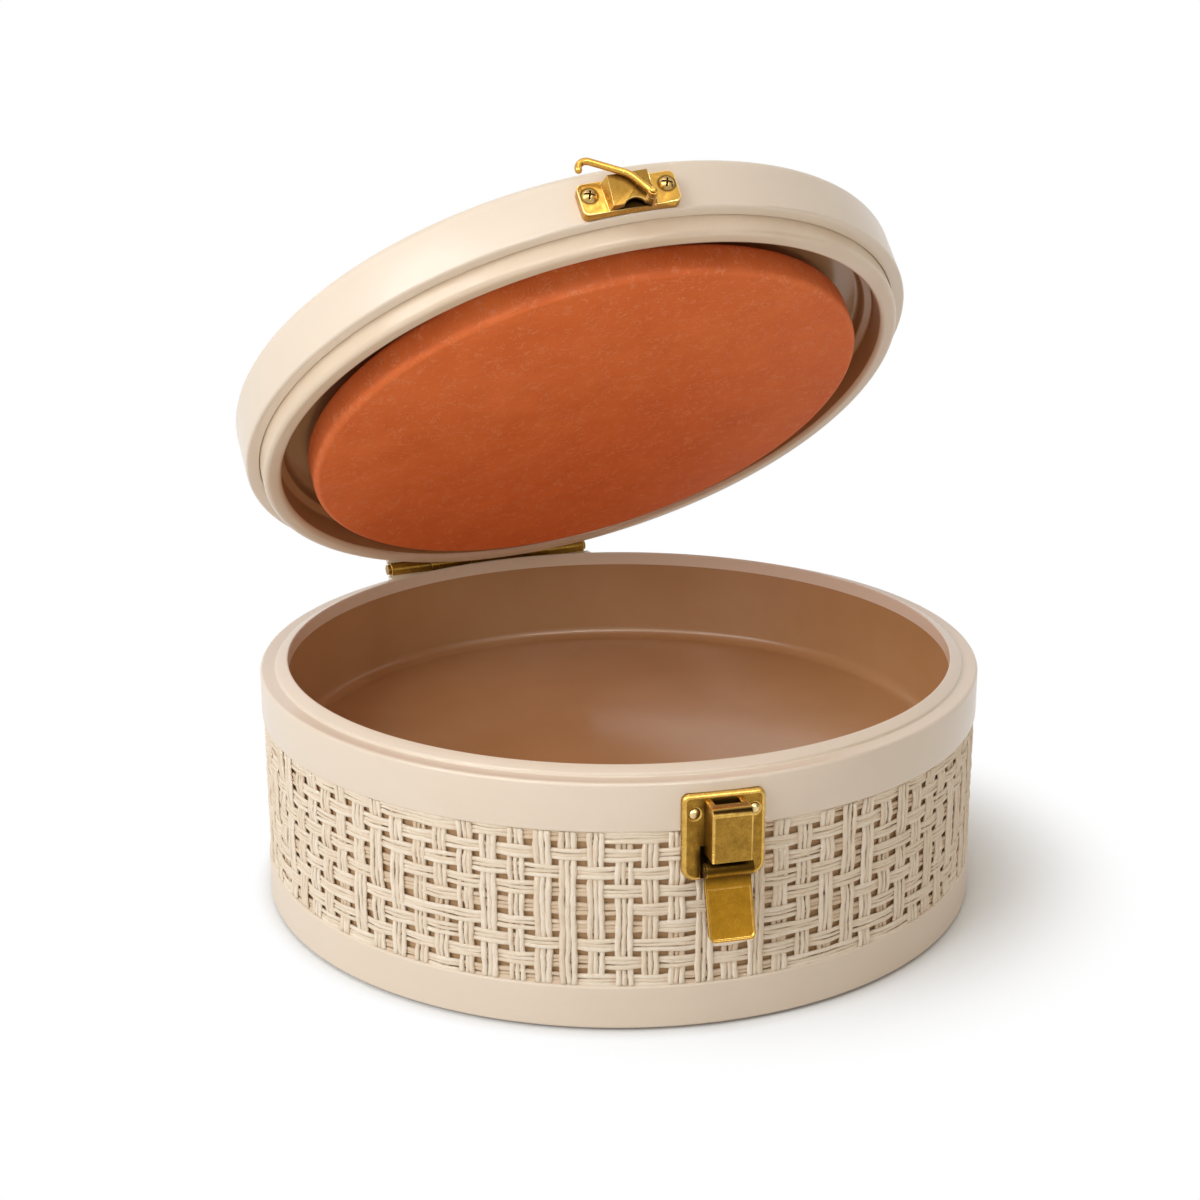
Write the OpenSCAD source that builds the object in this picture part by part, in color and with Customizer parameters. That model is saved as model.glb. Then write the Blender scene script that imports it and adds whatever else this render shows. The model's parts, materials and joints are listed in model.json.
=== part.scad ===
// Round insulated warmer with a woven band, a hinged lid that carries a terracotta disc,
// and a brass hook latch at the front. The lid stands open as it is modelled.
// Millimetres, +Z up, origin at the centre of the base, hinge towards +Y.

/* [Body] */
// Outer radius of the two plain bands
body_r = 132; // [120:1:150]
// Height of the shoulder
shoulder_z = 86.5; // [82:0.5:100]
// Width of the shoulder outside the lip
shoulder_w = 5.7; // [5.2:0.1:8]
// Rounding of the shoulder's outer edge
shoulder_round = 2; // [1:0.1:3]
// Height of the lip above the shoulder
lip_h = 3; // [2.4:0.1:4]
// Width of the lip
lip_w = 4.5; // [4:0.1:6]
// Rounding of the lip's edges
lip_round = 1; // [0.5:0.1:1.2]
// Height of the upper band, from the weave to the shoulder
upper_band_h = 17; // [16:0.5:20]
// Height of the solid part of the upper band
upper_band_solid = 12.5; // [11.5:0.5:14]
// Top of the lower band
lower_band_top = 16; // [12:0.5:24]
// Chamfer at the foot of the lower band
foot_chamfer = 1.5; // [0.5:0.1:3]
// Thickness of the woven band
weave_t = 1.6; // [1.2:0.1:2.4]
// How far the weave lies behind the bands
weave_inset = 0.7; // [0.4:0.1:1.5]
// Wall of the outer shell
shell_wall = 2; // [1.5:0.1:2.6]
// Wall and floor of the inner liner
liner_wall = 1.5; // [1:0.1:2]
// Height of the cavity's floor
floor_z = 52; // [40:1:60]
// Rounding where the cavity's wall meets its floor
floor_round = 6; // [3:0.5:12]
// How far the liner ends below the lip's top
liner_drop = 5.5; // [4:0.1:7]

/* [Base] */
// Gap under the shell, taken up by the base pad
foot_gap = 1; // [0.6:0.1:2]
// Thickness of the base cover
cover_t = 3; // [2.5:0.1:4]
// Distance from the base screws' heads in to the base pad
pad_inset = 6.9; // [4:0.1:30]
// Depth of the recess that holds the base pad
pad_recess = 1; // [0.5:0.1:1.5]
// Width of the flange that the base screws hold
flange_w = 8; // [7:0.5:10]
// Thickness of that flange
flange_t = 4; // [3:0.5:6]
// Number of base screws
base_screw_count = 6; // [4:1:10]
// Radius of a base screw's head
base_head_r = 2.8; // [2.2:0.1:3]

/* [Lid] */
// Opening angle of the lid as modelled
lid_open = 40.5; // [5:0.5:80]
// Height of the lid's wall
lid_h = 19.5; // [18:0.5:26]
// Rise of the lid's crown
lid_crown = 2.5; // [1:0.1:6]
// Rounding of the lid's upper edge
lid_round = 3; // [1.5:0.1:4]
// Thickness of the lid's top at its edge
lid_skin = 3; // [2:0.1:4]
// How far the lid's spigot reaches below its rim
spigot_h = 7; // [5:0.5:9]
// Width of the spigot ring
spigot_w = 6.6; // [5.5:0.1:8]
// Rounding of the spigot's edges
spigot_round = 2; // [1:0.1:2.5]
// Depth of the hollow inside the lid, above its rim
hollow_h = 9.2; // [8.5:0.1:10]
// Width of the step inside the hollow
step_w = 3; // [1:0.5:5]
// Ceiling of the lid's liner
ceiling_t = 2; // [1.5:0.1:2.5]
// Gap between the closed lid and the lip
seal_gap = 0.3; // [0.2:0.05:0.6]

/* [Terracotta disc] */
// Gap between the disc and the step inside the lid
disc_gap = 7.8; // [4:0.1:14]
// Thickness of the disc
disc_t = 12; // [10:0.5:14]
// How far the disc stands below the spigot
disc_proud = 3.8; // [1:0.1:5]
// Rounding of the disc's front edge
disc_round = 5; // [2:0.5:6]
// Radius of the stud that holds the disc
stud_r = 3; // [2.5:0.1:4]
// Depth of the stud in the disc
stud_depth = 7; // [5:0.5:8]
// Outer radius of the spacer behind the disc
spacer_r = 14; // [10:0.5:20]
// Thickness of the washer under the nut
washer_t = 1; // [0.6:0.1:1.2]
// Height of the nut
nut_h = 3; // [2.6:0.1:3.2]

/* [Hinge] */
// Radius of the hinge barrel
barrel_r = 3; // [2.6:0.1:3.4]
// Half the length of the hinge barrel
barrel_half = 44; // [40:1:48]
// Radius of the hinge pin
hinge_pin_r = 1.5; // [1.2:0.1:1.7]
// Thickness of a hinge leaf
leaf_t = 1.5; // [1.2:0.1:1.6]
// Height of a hinge leaf, from the axis
leaf_h = 12.4; // [11.5:0.1:13]
// Number of knuckles, odd
knuckles = 5; // [3:2:7]
// Gap between knuckles
knuckle_gap = 0.3; // [0.2:0.05:0.5]
// Gap between the barrel and the lip
barrel_gap = 1.4; // [1.2:0.1:2]
// How far the hinge axis lies below the lip's top
axis_drop = 1.2; // [1:0.1:1.4]

/* [Latch] */
// Turn of the latch from the point opposite the hinge
latch_turn = 11; // [0:1:20]
// Width of the latch plate
plate_w = 27.7; // [26:0.1:32]
// Height of the latch plate
plate_h = 29.5; // [28:0.5:34]
// Distance from the shoulder down to the latch plate
plate_drop = 4; // [3:0.1:4.5]
// Thickness of the latch plate
plate_t = 2.2; // [1.6:0.1:2.4]
// Width of the notch in the plate's foot
notch_w = 15.8; // [15:0.1:17]
// How far the notch reaches above the housing's foot
notch_rise = 2.2; // [1:0.1:3]
// Thickness of the plate behind the notch
plate_web = 0.7; // [0.5:0.1:0.9]
// Distance from the plate's top down to the rivets
rivet_drop = 6.5; // [5:0.1:8]
// Width of the housing
housing_w = 13.5; // [13:0.1:15]
// Depth of the housing
housing_d = 9.5; // [9.4:0.1:10.5]
// Height of the housing
housing_h = 17.8; // [17.5:0.1:18.5]
// Wall of the housing
housing_wall = 1.2; // [1:0.05:1.3]
// Distance from the plate's top down to the housing
housing_drop = 2; // [1.5:0.1:2.5]
// Width of the slot in the housing's top
slot_w = 8.6; // [8.4:0.1:9]
// Depth of that slot
slot_d = 4.2; // [4:0.1:4.6]
// Radius of the lever's barrel
lever_r = 2.5; // [2.4:0.05:2.6]
// Thickness of the barrel's front skin over the lugs
lever_skin = 0.65; // [0.5:0.05:0.7]
// Radius of the lever's pin
lever_pin_r = 0.8; // [0.7:0.05:0.9]
// Gap between the housing and the lever's barrel
lever_gap = 1.6; // [1.2:0.1:2]
// Length of the lever's tongue below its pin
tongue_l = 22.5; // [18:0.5:26]
// Width of the tongue
tongue_w = 15.5; // [14:0.1:17]
// Thickness of the tongue
tongue_t = 1.6; // [1.2:0.1:1.8]
// Outward lean of the tongue
tongue_lean = 20; // [16:0.5:24]
// Width of the raised border round the tongue
tongue_border = 0.7; // [0.5:0.1:1.4]

/* [Catch] */
// Width of the catch plate
catch_w = 33; // [32.5:0.5:36]
// Height of the catch plate
catch_h = 11.8; // [11.4:0.1:12.8]
// Thickness of the catch plate
catch_t = 4; // [3.8:0.1:4.4]
// Width of the hood
hood_w = 16.6; // [16:0.1:17]
// How far the hood ends below the catch plate's top
hood_drop = 1; // [0.6:0.1:2]
// How far the hood's lower edge stands out from the catch plate
hood_lip = 3; // [2.8:0.1:3.4]
// Wall of the hood
hood_wall = 1.2; // [1:0.1:1.4]
// Radius of the hook's rod
rod_r = 1.2; // [1:0.05:1.25]
// Inner straight length of the hook
hook_shank = 8; // [7.8:0.1:8.2]
// Outer straight length of the hook
hook_reach = 11.4; // [11.2:0.1:11.6]
// Radius of the hook's curl
curl_r = 2.8; // [2.7:0.05:2.9]

/* [Hidden] */
$fn = 96;
cream = "#e8ddc6";
straw = "#d9c39a";
tan = "#b99c7c";
foam = "#efe9d8";
clay = "#9c4a2b";
brass = "#a8843f";
steel = "#b9bcc0";
dark = "#3a3634";

// Clearances
slip = 0.1;       // between a wall and what slides into it
pin_clear = 0.05; // radial, between a pin and its bore
run_gap = 0.3;    // between faces that pass each other
swing_gap = 0.4;  // between the spigot and the lip
cut_reach = body_r / 6; // how far a cut runs out past the wall it opens

// Body, worked out from the sizes above
lip_top = shoulder_z + lip_h;
lip_out = body_r - shoulder_w;
lip_in = lip_out - lip_w;
band_z = shoulder_z - upper_band_h;
seat_z = shoulder_z - upper_band_solid;
weave_r = body_r - weave_inset;
shell_r = weave_r - weave_t;
shell_in = shell_r - shell_wall;
liner_r = lip_in + liner_wall;
liner_top = lip_top - liner_drop;
cover_z = foot_gap + cover_t;
flange_z = cover_z + flange_t;
flange_in = shell_in - flange_w;
base_screw_ring = shell_in - flange_w / 2;
base_shank_r = base_head_r / 2;
base_head_h = cover_t / 2;
pad_r = base_screw_ring - base_head_r - pad_inset;
base_shank_l = flange_t - 1;

// Lid, in its closed place
lid_z = lip_top + seal_gap;
lid_r = lip_out + slip;
lid_in = lip_in - swing_gap / 2;
lid_top = lid_z + lid_h;
lid_under = lid_top - lid_skin;
spigot_r = lip_in - swing_gap;
spigot_in = spigot_r - spigot_w;
spigot_z = lid_z - spigot_h;
ceiling_z = lid_z + hollow_h;
liner_back = ceiling_z + ceiling_t;
step_z = lid_z + hollow_h / 3;
disc_r = spigot_in - step_w - disc_gap;
disc_z = spigot_z - disc_proud;
disc_back = disc_z + disc_t;
nut_z = liner_back + washer_t;
nut_r = stud_r * 1.9;
pocket_r = nut_r + 6;

// Hinge
hinge_y = lip_out + barrel_gap + barrel_r;
hinge_z = lip_top - axis_drop;
flat_y = hinge_y - barrel_r;
pad_half = barrel_half + 1.5;
pad_h = lid_h * 2 / 3;
knuckle_w = 2 * barrel_half / knuckles;
leaf_screw_x = [-0.77 * barrel_half, -0.27 * barrel_half, 0.27 * barrel_half, 0.77 * barrel_half];
leaf_screw_off = (barrel_r + run_gap + leaf_h) / 2;
leaf_head_r = 2.4;
leaf_head_h = 1.2;
leaf_shank_r = 1.3;
leaf_shank_l = leaf_t + 4;

// Latch, with the front of the body at -Y
plate_back = -sqrt(pow(body_r, 2) - pow(plate_w / 2, 2));
plate_front = plate_back - plate_t;
plate_top = shoulder_z - plate_drop;
plate_foot = plate_top - plate_h;
housing_top = plate_top - housing_drop;
housing_foot = housing_top - housing_h;
housing_front = plate_front - housing_d;
lever_z = housing_foot - lever_gap - lever_r;
lever_y = plate_front - 5;
lever_half = tongue_w / 2 + 0.15;
notch_top = housing_foot + notch_rise;
slot_r = lever_r - lever_skin;
lug_r = slot_r - run_gap;
lug_t = 1.6;
lug_x = housing_w / 2 - housing_wall - lug_t / 2 - slip;
spring_w = 2;
neck_y = 0.3;
neck_z = -4;
neck_r = 5;
rivet_x = plate_w * 0.355;
rivet_z = plate_top - rivet_drop;
rivet_r = 1.8;
rivet_shank_r = 1;
rivet_l = 4;

// Catch, in the closed place of the lid
catch_back = -sqrt(pow(lid_r, 2) - pow(catch_w / 2, 2));
catch_front = catch_back - catch_t;
catch_z = lid_z + 0.8;
hook_y = plate_front - run_gap - 0.2 - rod_r;
hood_front = hook_y + rod_r + run_gap;
hood_low = catch_front - hood_lip;
hood_top = catch_z + catch_h - hood_drop;
hook_x = 5.6;
hook_z = catch_z + 1.1;
hook_lean = 125;
bend_r = 8;
bend_to = 150;
hook_swing = 110;
eye_r = 1.3 * rod_r;
hook_pin_r = 0.65;
catch_screw_x = 13;
catch_screw_z = catch_z + catch_h / 2 + 1;
catch_head_r = 2.7;
catch_shank_r = 1.4;
catch_shank_l = 3.2;

// The lever's tooth stands inside the curl when the hook hangs in the housing
hook_end = hook_path_end();
tooth_x = hook_x + hook_end[0] * cos(hook_swing) - hook_end[1] * sin(hook_swing);
tooth_z = hook_z + hook_end[0] * sin(hook_swing) + hook_end[1] * cos(hook_swing);

// Points of an arc about [x, z], from angle a to angle b
function arc(x, z, r, a, b, n = 6) =
    [for (i = [0:n]) let (t = a + (b - a) * i / n) [x + r * cos(t), z + r * sin(t)]];

// Points of a shallow crown from the edge [r, z] to the axis, rising by h
function crown(r, z, h, n = 12) =
    let (big = (r * r + h * h) / (2 * h), half = asin(r / big))
    [for (i = [0:n]) let (t = half * (1 - i / n)) [big * sin(t), z + h - big * (1 - cos(t))]];

// Centre of the hook's curl, from the pivot, with the hook parked
function hook_bend_start() = hook_shank * [cos(hook_lean), sin(hook_lean)];
function hook_bend_centre() = hook_bend_start() + bend_r * [cos(hook_lean + 90), sin(hook_lean + 90)];
function hook_bend_end() = hook_bend_centre() + bend_r * [cos(bend_to - 90), sin(bend_to - 90)];
function hook_curl_start() = hook_bend_end() + hook_reach * [cos(bend_to), sin(bend_to)];
function hook_path_end() = hook_curl_start() + curl_r * [cos(bend_to + 90), sin(bend_to + 90)];

module turned(points) {
    rotate_extrude() polygon(points);
}

// A bar along X, centred
module bar_x(r, x0, x1) {
    translate([x0, 0, 0]) rotate([0, 90, 0]) cylinder(r = r, h = x1 - x0);
}

// A rod along -Y from the origin
module rod_out(r, l) {
    rotate([90, 0, 0]) cylinder(r = r, h = l);
}

// A rod along +Y from the origin
module rod_in(r, l) {
    rotate([-90, 0, 0]) cylinder(r = r, h = l);
}

// A domed head that bulges along -Y, with its flat side at the origin
module dome(r, h) {
    big = (r * r + h * h) / (2 * h);
    rotate([90, 0, 0]) rotate_extrude() intersection() {
        translate([0, h - big]) circle(r = big);
        square([r, h]);
    }
}

module rounded_square(w, h, r) {
    translate([r, 0]) square([w - 2 * r, h]);
    translate([0, r]) square([w, h - 2 * r]);
    for (x = [r, w - r], y = [r, h - r]) translate([x, y]) circle(r = r);
}

// Turns the front to the latch's place
module at_latch() {
    rotate([0, 0, -latch_turn]) children();
}

// Swings what is drawn in the lid's closed place to its open place
module lid_pose() {
    translate([0, hinge_y, hinge_z]) rotate([-lid_open, 0, 0]) translate([0, -hinge_y, -hinge_z]) children();
}

// Flat pads for the hinge leaves, outside radius r, from height z0 to z1
module hinge_pad(r, z0, z1) {
    difference() {
        translate([-pad_half, 0, z0]) cube([2 * pad_half, flat_y, z1 - z0]);
        translate([0, 0, z0 - 1]) cylinder(r = r, h = z1 - z0 + 2);
        translate([-pad_half - 1, -1, z0 - 1]) cube([2 * pad_half + 2, body_r / 2, z1 - z0 + 2]);
    }
}

// Pilot holes of the hinge screws, at height z
module leaf_pilots(z) {
    for (x = leaf_screw_x)
        translate([x, flat_y + 1, z]) rod_out(leaf_shank_r + pin_clear, leaf_shank_l - leaf_t + 1.5);
}

module outer_shell() {
    color(cream) difference() {
        turned(concat(
            [[shell_in, foot_gap], [body_r - foot_chamfer, foot_gap], [body_r, foot_gap + foot_chamfer]],
            arc(body_r - 1, lower_band_top - 1, 1, 0, 90),
            [[shell_r, lower_band_top], [shell_r, seat_z], [shell_in, seat_z], [shell_in, flange_z],
             [flange_in, flange_z], [flange_in, cover_z], [shell_in, cover_z]]));
        base_screw_places() translate([0, 0, cover_z - 1])
            cylinder(r = base_shank_r + pin_clear, h = base_shank_l + 1.2);
    }
}

// The weave as a plain ring, flat behind the latch plate
module woven_band() {
    color(straw) difference() {
        turned([[shell_r + slip, lower_band_top], [weave_r, lower_band_top],
                [weave_r, band_z], [shell_r + slip, band_z]]);
        at_latch() latch_flat(plate_foot - run_gap);
    }
}

// Flat behind the latch plate, from height z up to the plate's top
module latch_flat(z) {
    translate([-plate_w / 2 - slip, plate_back - cut_reach, z])
        cube([plate_w + 2 * slip, cut_reach, plate_top + slip - z]);
}

module rim_ring() {
    color(cream) difference() {
        union() {
            turned(concat(
                [[shell_r + slip, seat_z], [shell_r + slip, band_z]],
                arc(body_r - 1, band_z + 1, 1, -90, 0),
                arc(body_r - shoulder_round, shoulder_z - shoulder_round, shoulder_round, 0, 90),
                arc(lip_out + lip_round, shoulder_z + lip_round, lip_round, 270, 180),
                arc(lip_out - lip_round, lip_top - lip_round, lip_round, 0, 90),
                arc(lip_in + lip_round, lip_top - lip_round, lip_round, 90, 180),
                [[lip_in, liner_top], [liner_r + slip, liner_top], [liner_r + slip, seat_z]]));
            hinge_pad(body_r - 1, seat_z, shoulder_z);
        }
        translate([-pad_half, flat_y, seat_z]) cube([2 * pad_half, body_r, lip_top]);
        leaf_pilots(hinge_z - leaf_screw_off);
        at_latch() latch_flat(band_z - 1);
        at_latch() for (x = [-rivet_x, rivet_x])
            translate([x, plate_back - 1, rivet_z]) rod_in(rivet_shank_r + pin_clear, rivet_l + 1.2);
    }
}

module inner_liner() {
    color(tan) turned(concat(
        [[0, floor_z - liner_wall], [liner_r - floor_round, floor_z - liner_wall]],
        arc(liner_r - floor_round, floor_z - liner_wall + floor_round, floor_round, -90, 0),
        [[liner_r, liner_top], [lip_in, liner_top]],
        arc(lip_in + liner_wall - floor_round, floor_z - liner_wall + floor_round,
            floor_round - liner_wall, 0, -90),
        [[0, floor_z]]));
}

module wall_insulation() {
    color(foam) difference() {
        translate([0, 0, floor_z - liner_wall + floor_round])
            cylinder(r = shell_in - slip, h = seat_z - floor_z + liner_wall - floor_round);
        cylinder(r = liner_r + slip, h = seat_z + 1);
    }
}

// The foam block under the liner, dished at its edge to follow the liner
module base_insulation() {
    color(foam) difference() {
        translate([0, 0, flange_z])
            cylinder(r = shell_in - slip, h = floor_z - liner_wall + floor_round - flange_z);
        turned(concat(
            [[0, floor_z - liner_wall], [liner_r - floor_round, floor_z - liner_wall]],
            arc(liner_r - floor_round, floor_z - liner_wall + floor_round, floor_round + slip, -90, 0),
            [[liner_r + slip, floor_z + floor_round], [0, floor_z + floor_round]]));
    }
}

module base_cover() {
    color(cream) difference() {
        translate([0, 0, foot_gap]) cylinder(r = shell_in - slip, h = cover_t);
        cylinder(r = pad_r + slip, h = foot_gap + pad_recess);
        base_screw_places() {
            translate([0, 0, foot_gap - 1]) cylinder(r = base_head_r + slip, h = base_head_h + 1);
            cylinder(r = base_shank_r + slip, h = cover_z + 1);
        }
    }
}

module base_screw_places() {
    for (i = [0:base_screw_count - 1])
        rotate([0, 0, (i + 0.5) * 360 / base_screw_count]) translate([base_screw_ring, 0, 0]) children();
}

module base_pad() {
    color(dark) cylinder(r = pad_r, h = foot_gap + pad_recess);
}

module latch_plate() {
    color(brass) at_latch() difference() {
        union() {
            difference() {
                translate([-plate_w / 2, plate_back, plate_foot]) rotate([90, 0, 0]) linear_extrude(plate_t)
                    plate_outline();
                translate([-notch_w / 2, plate_front - 1, plate_foot - 1])
                    cube([notch_w, plate_t - plate_web + 1, notch_top - plate_foot + 1]);
            }
            for (x = [-lug_x, lug_x]) translate([x - lug_t / 2, lever_y, lever_z]) latch_lug();
        }
        translate([0, lever_y, lever_z]) bar_x(lever_pin_r + pin_clear, -plate_w, plate_w);
        for (x = [-rivet_x, rivet_x])
            translate([x, plate_front - 1, rivet_z]) rod_in(rivet_shank_r + pin_clear, plate_t + 2);
    }
}

// The plate's corners are rounder at its foot than at its top
module plate_outline() {
    rounded_square(plate_w, plate_h, 4.5);
    translate([0, plate_h / 2]) rounded_square(plate_w, plate_h / 2, 2.5);
}

// One lug: round about the lever's pin, then back to the plate in its notch
module latch_lug() {
    stem = 1.2;
    bar_x(lug_r, 0, lug_t);
    translate([0, 0, -stem]) cube([lug_t, plate_back - plate_web / 2 - lever_y, 2 * stem]);
}

module latch_housing() {
    bevel = 1.7;
    color(brass) at_latch() difference() {
        translate([-housing_w / 2, 0, 0]) rotate([90, 0, 90]) linear_extrude(housing_w) polygon([
            [plate_front, housing_foot], [housing_front, housing_foot], [housing_front, housing_top - bevel],
            [housing_front + bevel, housing_top], [plate_front, housing_top]]);
        translate([-housing_w / 2 + housing_wall, housing_front + housing_wall, housing_foot - 1])
            cube([housing_w - 2 * housing_wall, housing_d, housing_h + 1 - housing_wall]);
        translate([-slot_w / 2, plate_front - slot_d, housing_top - housing_wall - 1])
            cube([slot_w, slot_d + 1, housing_wall + 2]);
    }
}

module latch_rivets() {
    color(brass) at_latch() for (x = [-rivet_x, rivet_x]) translate([x, plate_front, rivet_z]) {
        dome(rivet_r, 1);
        rod_in(rivet_shank_r, plate_t + rivet_l);
    }
}

module latch_lever() {
    color(brass) at_latch() translate([0, lever_y, lever_z]) difference() {
        union() {
            bar_x(lever_r, -lever_half, lever_half);
            lever_arm();
            lever_tongue();
        }
        bar_x(lever_pin_r + pin_clear, -housing_w, housing_w);
        lever_slot(-lug_x - lug_t / 2 - run_gap, -lug_x + lug_t / 2 + spring_w + 2 * run_gap);
        lever_slot(lug_x - lug_t / 2 - run_gap, lug_x + lug_t / 2 + run_gap);
    }
}

// A slot in the back of the barrel, for a lug and the spring beside it
module lever_slot(x0, x1) {
    bar_x(slot_r, x0, x1);
    translate([x0, 0, -lever_r - 0.2]) cube([x1 - x0, lever_r + 1, lever_r + 1.7]);
}

// The arm stands in the housing, and its tooth reaches into the hook's curl
module lever_arm() {
    arm_w = 3.2;
    arm_t = 1;
    tooth_h = 2.3;
    tooth_l = hook_y - lever_y + run_gap;
    x = tooth_x - 0.6;
    z = tooth_z - lever_z - 0.9;
    translate([x, -arm_t / 2, 0]) cube([arm_w, arm_t, z + tooth_h]);
    translate([x, 0, z]) rotate([90, 0, 90]) linear_extrude(arm_w)
        polygon([[0, 0], [tooth_l, 0], [tooth_l, tooth_h / 3], [0, tooth_h * 0.9]]);
}

// Side view of the tongue: it drops from the barrel's back, then bends outwards
function tongue_way() = [-sin(tongue_lean), -cos(tongue_lean)];
function tongue_in() = [cos(tongue_lean), -sin(tongue_lean)];
function tongue_bend() = [neck_y - neck_r, neck_z] + neck_r * tongue_in();
function tongue_profile() =
    let (end = tongue_bend() + tongue_l * tongue_way())
    concat([[neck_y, -0.8]], arc(neck_y - neck_r, neck_z, neck_r, 0, -tongue_lean),
           [end, end + tongue_t * tongue_in()],
           arc(neck_y - neck_r, neck_z, neck_r + tongue_t, -tongue_lean, 0), [[neck_y + tongue_t, -0.8]]);

// Side view of what is taken off inside the border, deeper towards the tip
function relief_profile() =
    let (top = tongue_bend() + tongue_way(), end = tongue_bend() + tongue_l * tongue_way())
    [top - tongue_in(), top + 0.06 * tongue_in(), end + 0.5 * tongue_in(), end - tongue_in()];

// The tongue, with a raised border on its front
module lever_tongue() {
    corner = 2.2;
    difference() {
        tongue_sheet(0, corner) polygon(tongue_profile());
        tongue_sheet(tongue_border, corner - tongue_border) polygon(relief_profile());
    }
}

// A side view drawn out over the tongue's width, less an inset, with round corners at the tip
module tongue_sheet(inset, corner) {
    w = tongue_w - 2 * inset;
    intersection() {
        translate([-tongue_w, 0, 0]) rotate([90, 0, 90]) linear_extrude(2 * tongue_w) children();
        translate([-w / 2, tongue_w, inset - tongue_l]) rotate([90, 0, 0]) linear_extrude(3 * tongue_w)
            rounded_square(w, tongue_l + 3, corner);
    }
}

// The pin is pressed into the lugs and ends inside the barrel
module lever_pin() {
    half = lever_half - run_gap;
    color(steel) at_latch() translate([0, lever_y, lever_z]) bar_x(lever_pin_r, -half, half);
}

// Close-wound return spring on the lever's pin, in the barrel's slot, with one leg towards the plate
module lever_spring() {
    turns = 4;
    wire = spring_w / turns / 2;
    mid = lever_pin_r + 0.2 + wire;
    color(steel) at_latch() translate([-lug_x + lug_t / 2 + 0.1, lever_y, lever_z]) {
        rotate([0, 90, 0]) rotate_extrude() for (i = [0:turns - 1])
            translate([mid, wire * (2 * i + 1)]) circle(r = wire * 1.04, $fn = 24);
        translate([wire, 0, -mid]) rotate([-90, 0, 0])
            cylinder(r = wire * 0.9, h = plate_front - lever_y - run_gap, $fn = 24);
    }
}

// Knuckles of one leaf: every second one from number first
module leaf_knuckles(first) {
    for (i = [first:2:knuckles - 1])
        bar_x(barrel_r, -barrel_half + i * knuckle_w + knuckle_gap / 2,
              -barrel_half + (i + 1) * knuckle_w - knuckle_gap / 2);
}

// A leaf that rises from the hinge axis, with its flat side towards -Y
module hinge_leaf(first) {
    difference() {
        union() {
            leaf_knuckles(first);
            translate([-barrel_half, -barrel_r, barrel_r + run_gap])
                cube([2 * barrel_half, leaf_t, leaf_h - barrel_r - run_gap]);
            for (i = [first:2:knuckles - 1])
                translate([-barrel_half + i * knuckle_w + knuckle_gap / 2, -barrel_r, 0])
                    cube([knuckle_w - knuckle_gap, leaf_t, leaf_h / 2]);
        }
        bar_x(hinge_pin_r + pin_clear, -body_r, body_r);
        for (x = leaf_screw_x)
            translate([x, -barrel_r - 1, leaf_screw_off]) rod_in(leaf_shank_r + pin_clear, leaf_t + 2);
    }
}

module hinge_body_leaf() {
    color(brass) translate([0, hinge_y, hinge_z]) mirror([0, 0, 1]) hinge_leaf(0);
}

module hinge_lid_leaf() {
    color(brass) lid_pose() translate([0, hinge_y, hinge_z]) hinge_leaf(1);
}

module hinge_pin() {
    cap = 1;
    color(steel) translate([0, hinge_y, hinge_z]) {
        bar_x(hinge_pin_r, -barrel_half, barrel_half);
        for (x = [-barrel_half - cap, barrel_half]) bar_x(hinge_pin_r * 1.4, x, x + cap);
    }
}

// The screws of one leaf at height z, heads towards +Y
module leaf_screws(z) {
    for (x = leaf_screw_x) translate([x, flat_y + leaf_t, z]) {
        mirror([0, 1, 0]) dome(leaf_head_r, leaf_head_h);
        rod_out(leaf_shank_r, leaf_shank_l);
    }
}

module hinge_body_screws() {
    color(brass) leaf_screws(hinge_z - leaf_screw_off);
}

module hinge_lid_screws() {
    color(brass) lid_pose() leaf_screws(hinge_z + leaf_screw_off);
}

module lid_shell() {
    color(cream) lid_pose() difference() {
        union() {
            turned(concat(
                [[lid_in, lid_under], [lid_in, lid_z]],
                arc(lid_r - lip_round, lid_z + lip_round, lip_round, -90, 0),
                arc(lid_r - lid_round, lid_top - lid_round, lid_round, 0, 90),
                crown(lid_r - lid_round, lid_top, lid_crown),
                [[0, lid_under]]));
            hinge_pad(lid_r - 1, lid_z, lid_z + pad_h);
        }
        leaf_pilots(hinge_z + leaf_screw_off);
        at_latch() {
            translate([-catch_w / 2 - slip, catch_back - cut_reach, catch_z - slip])
                cube([catch_w + 2 * slip, cut_reach, catch_h + 2 * slip]);
            catch_screw_places() translate([0, -1, 0]) rod_in(catch_shank_r + pin_clear, catch_shank_l + 1.2);
        }
    }
}

module lid_liner() {
    color(tan) lid_pose() turned(concat(
        [[stud_r + slip, ceiling_z], [stud_r + slip, liner_back], [spigot_r, liner_back]],
        arc(spigot_r - spigot_round, spigot_z + spigot_round, spigot_round, 0, -90),
        arc(spigot_in + spigot_round, spigot_z + spigot_round, spigot_round, -90, -180),
        [[spigot_in, step_z]],
        arc(spigot_in - step_w - 2, ceiling_z - 2, 2, 0, 90)));
}

module lid_insulation() {
    color(foam) lid_pose() difference() {
        translate([0, 0, liner_back]) cylinder(r = spigot_r, h = lid_under - liner_back);
        translate([0, 0, liner_back - 1]) cylinder(r = pocket_r, h = lid_under - liner_back + 2);
    }
}

module terracotta_disc() {
    back_round = 2;
    color(clay) lid_pose() difference() {
        turned(concat(
            [[0, disc_z]],
            arc(disc_r - disc_round, disc_z + disc_round, disc_round, -90, 0),
            arc(disc_r - back_round, disc_back - back_round, back_round, 0, 90),
            [[0, disc_back]]));
        translate([0, 0, disc_back - stud_depth]) cylinder(r = stud_r + pin_clear, h = stud_depth + 1);
    }
}

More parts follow.
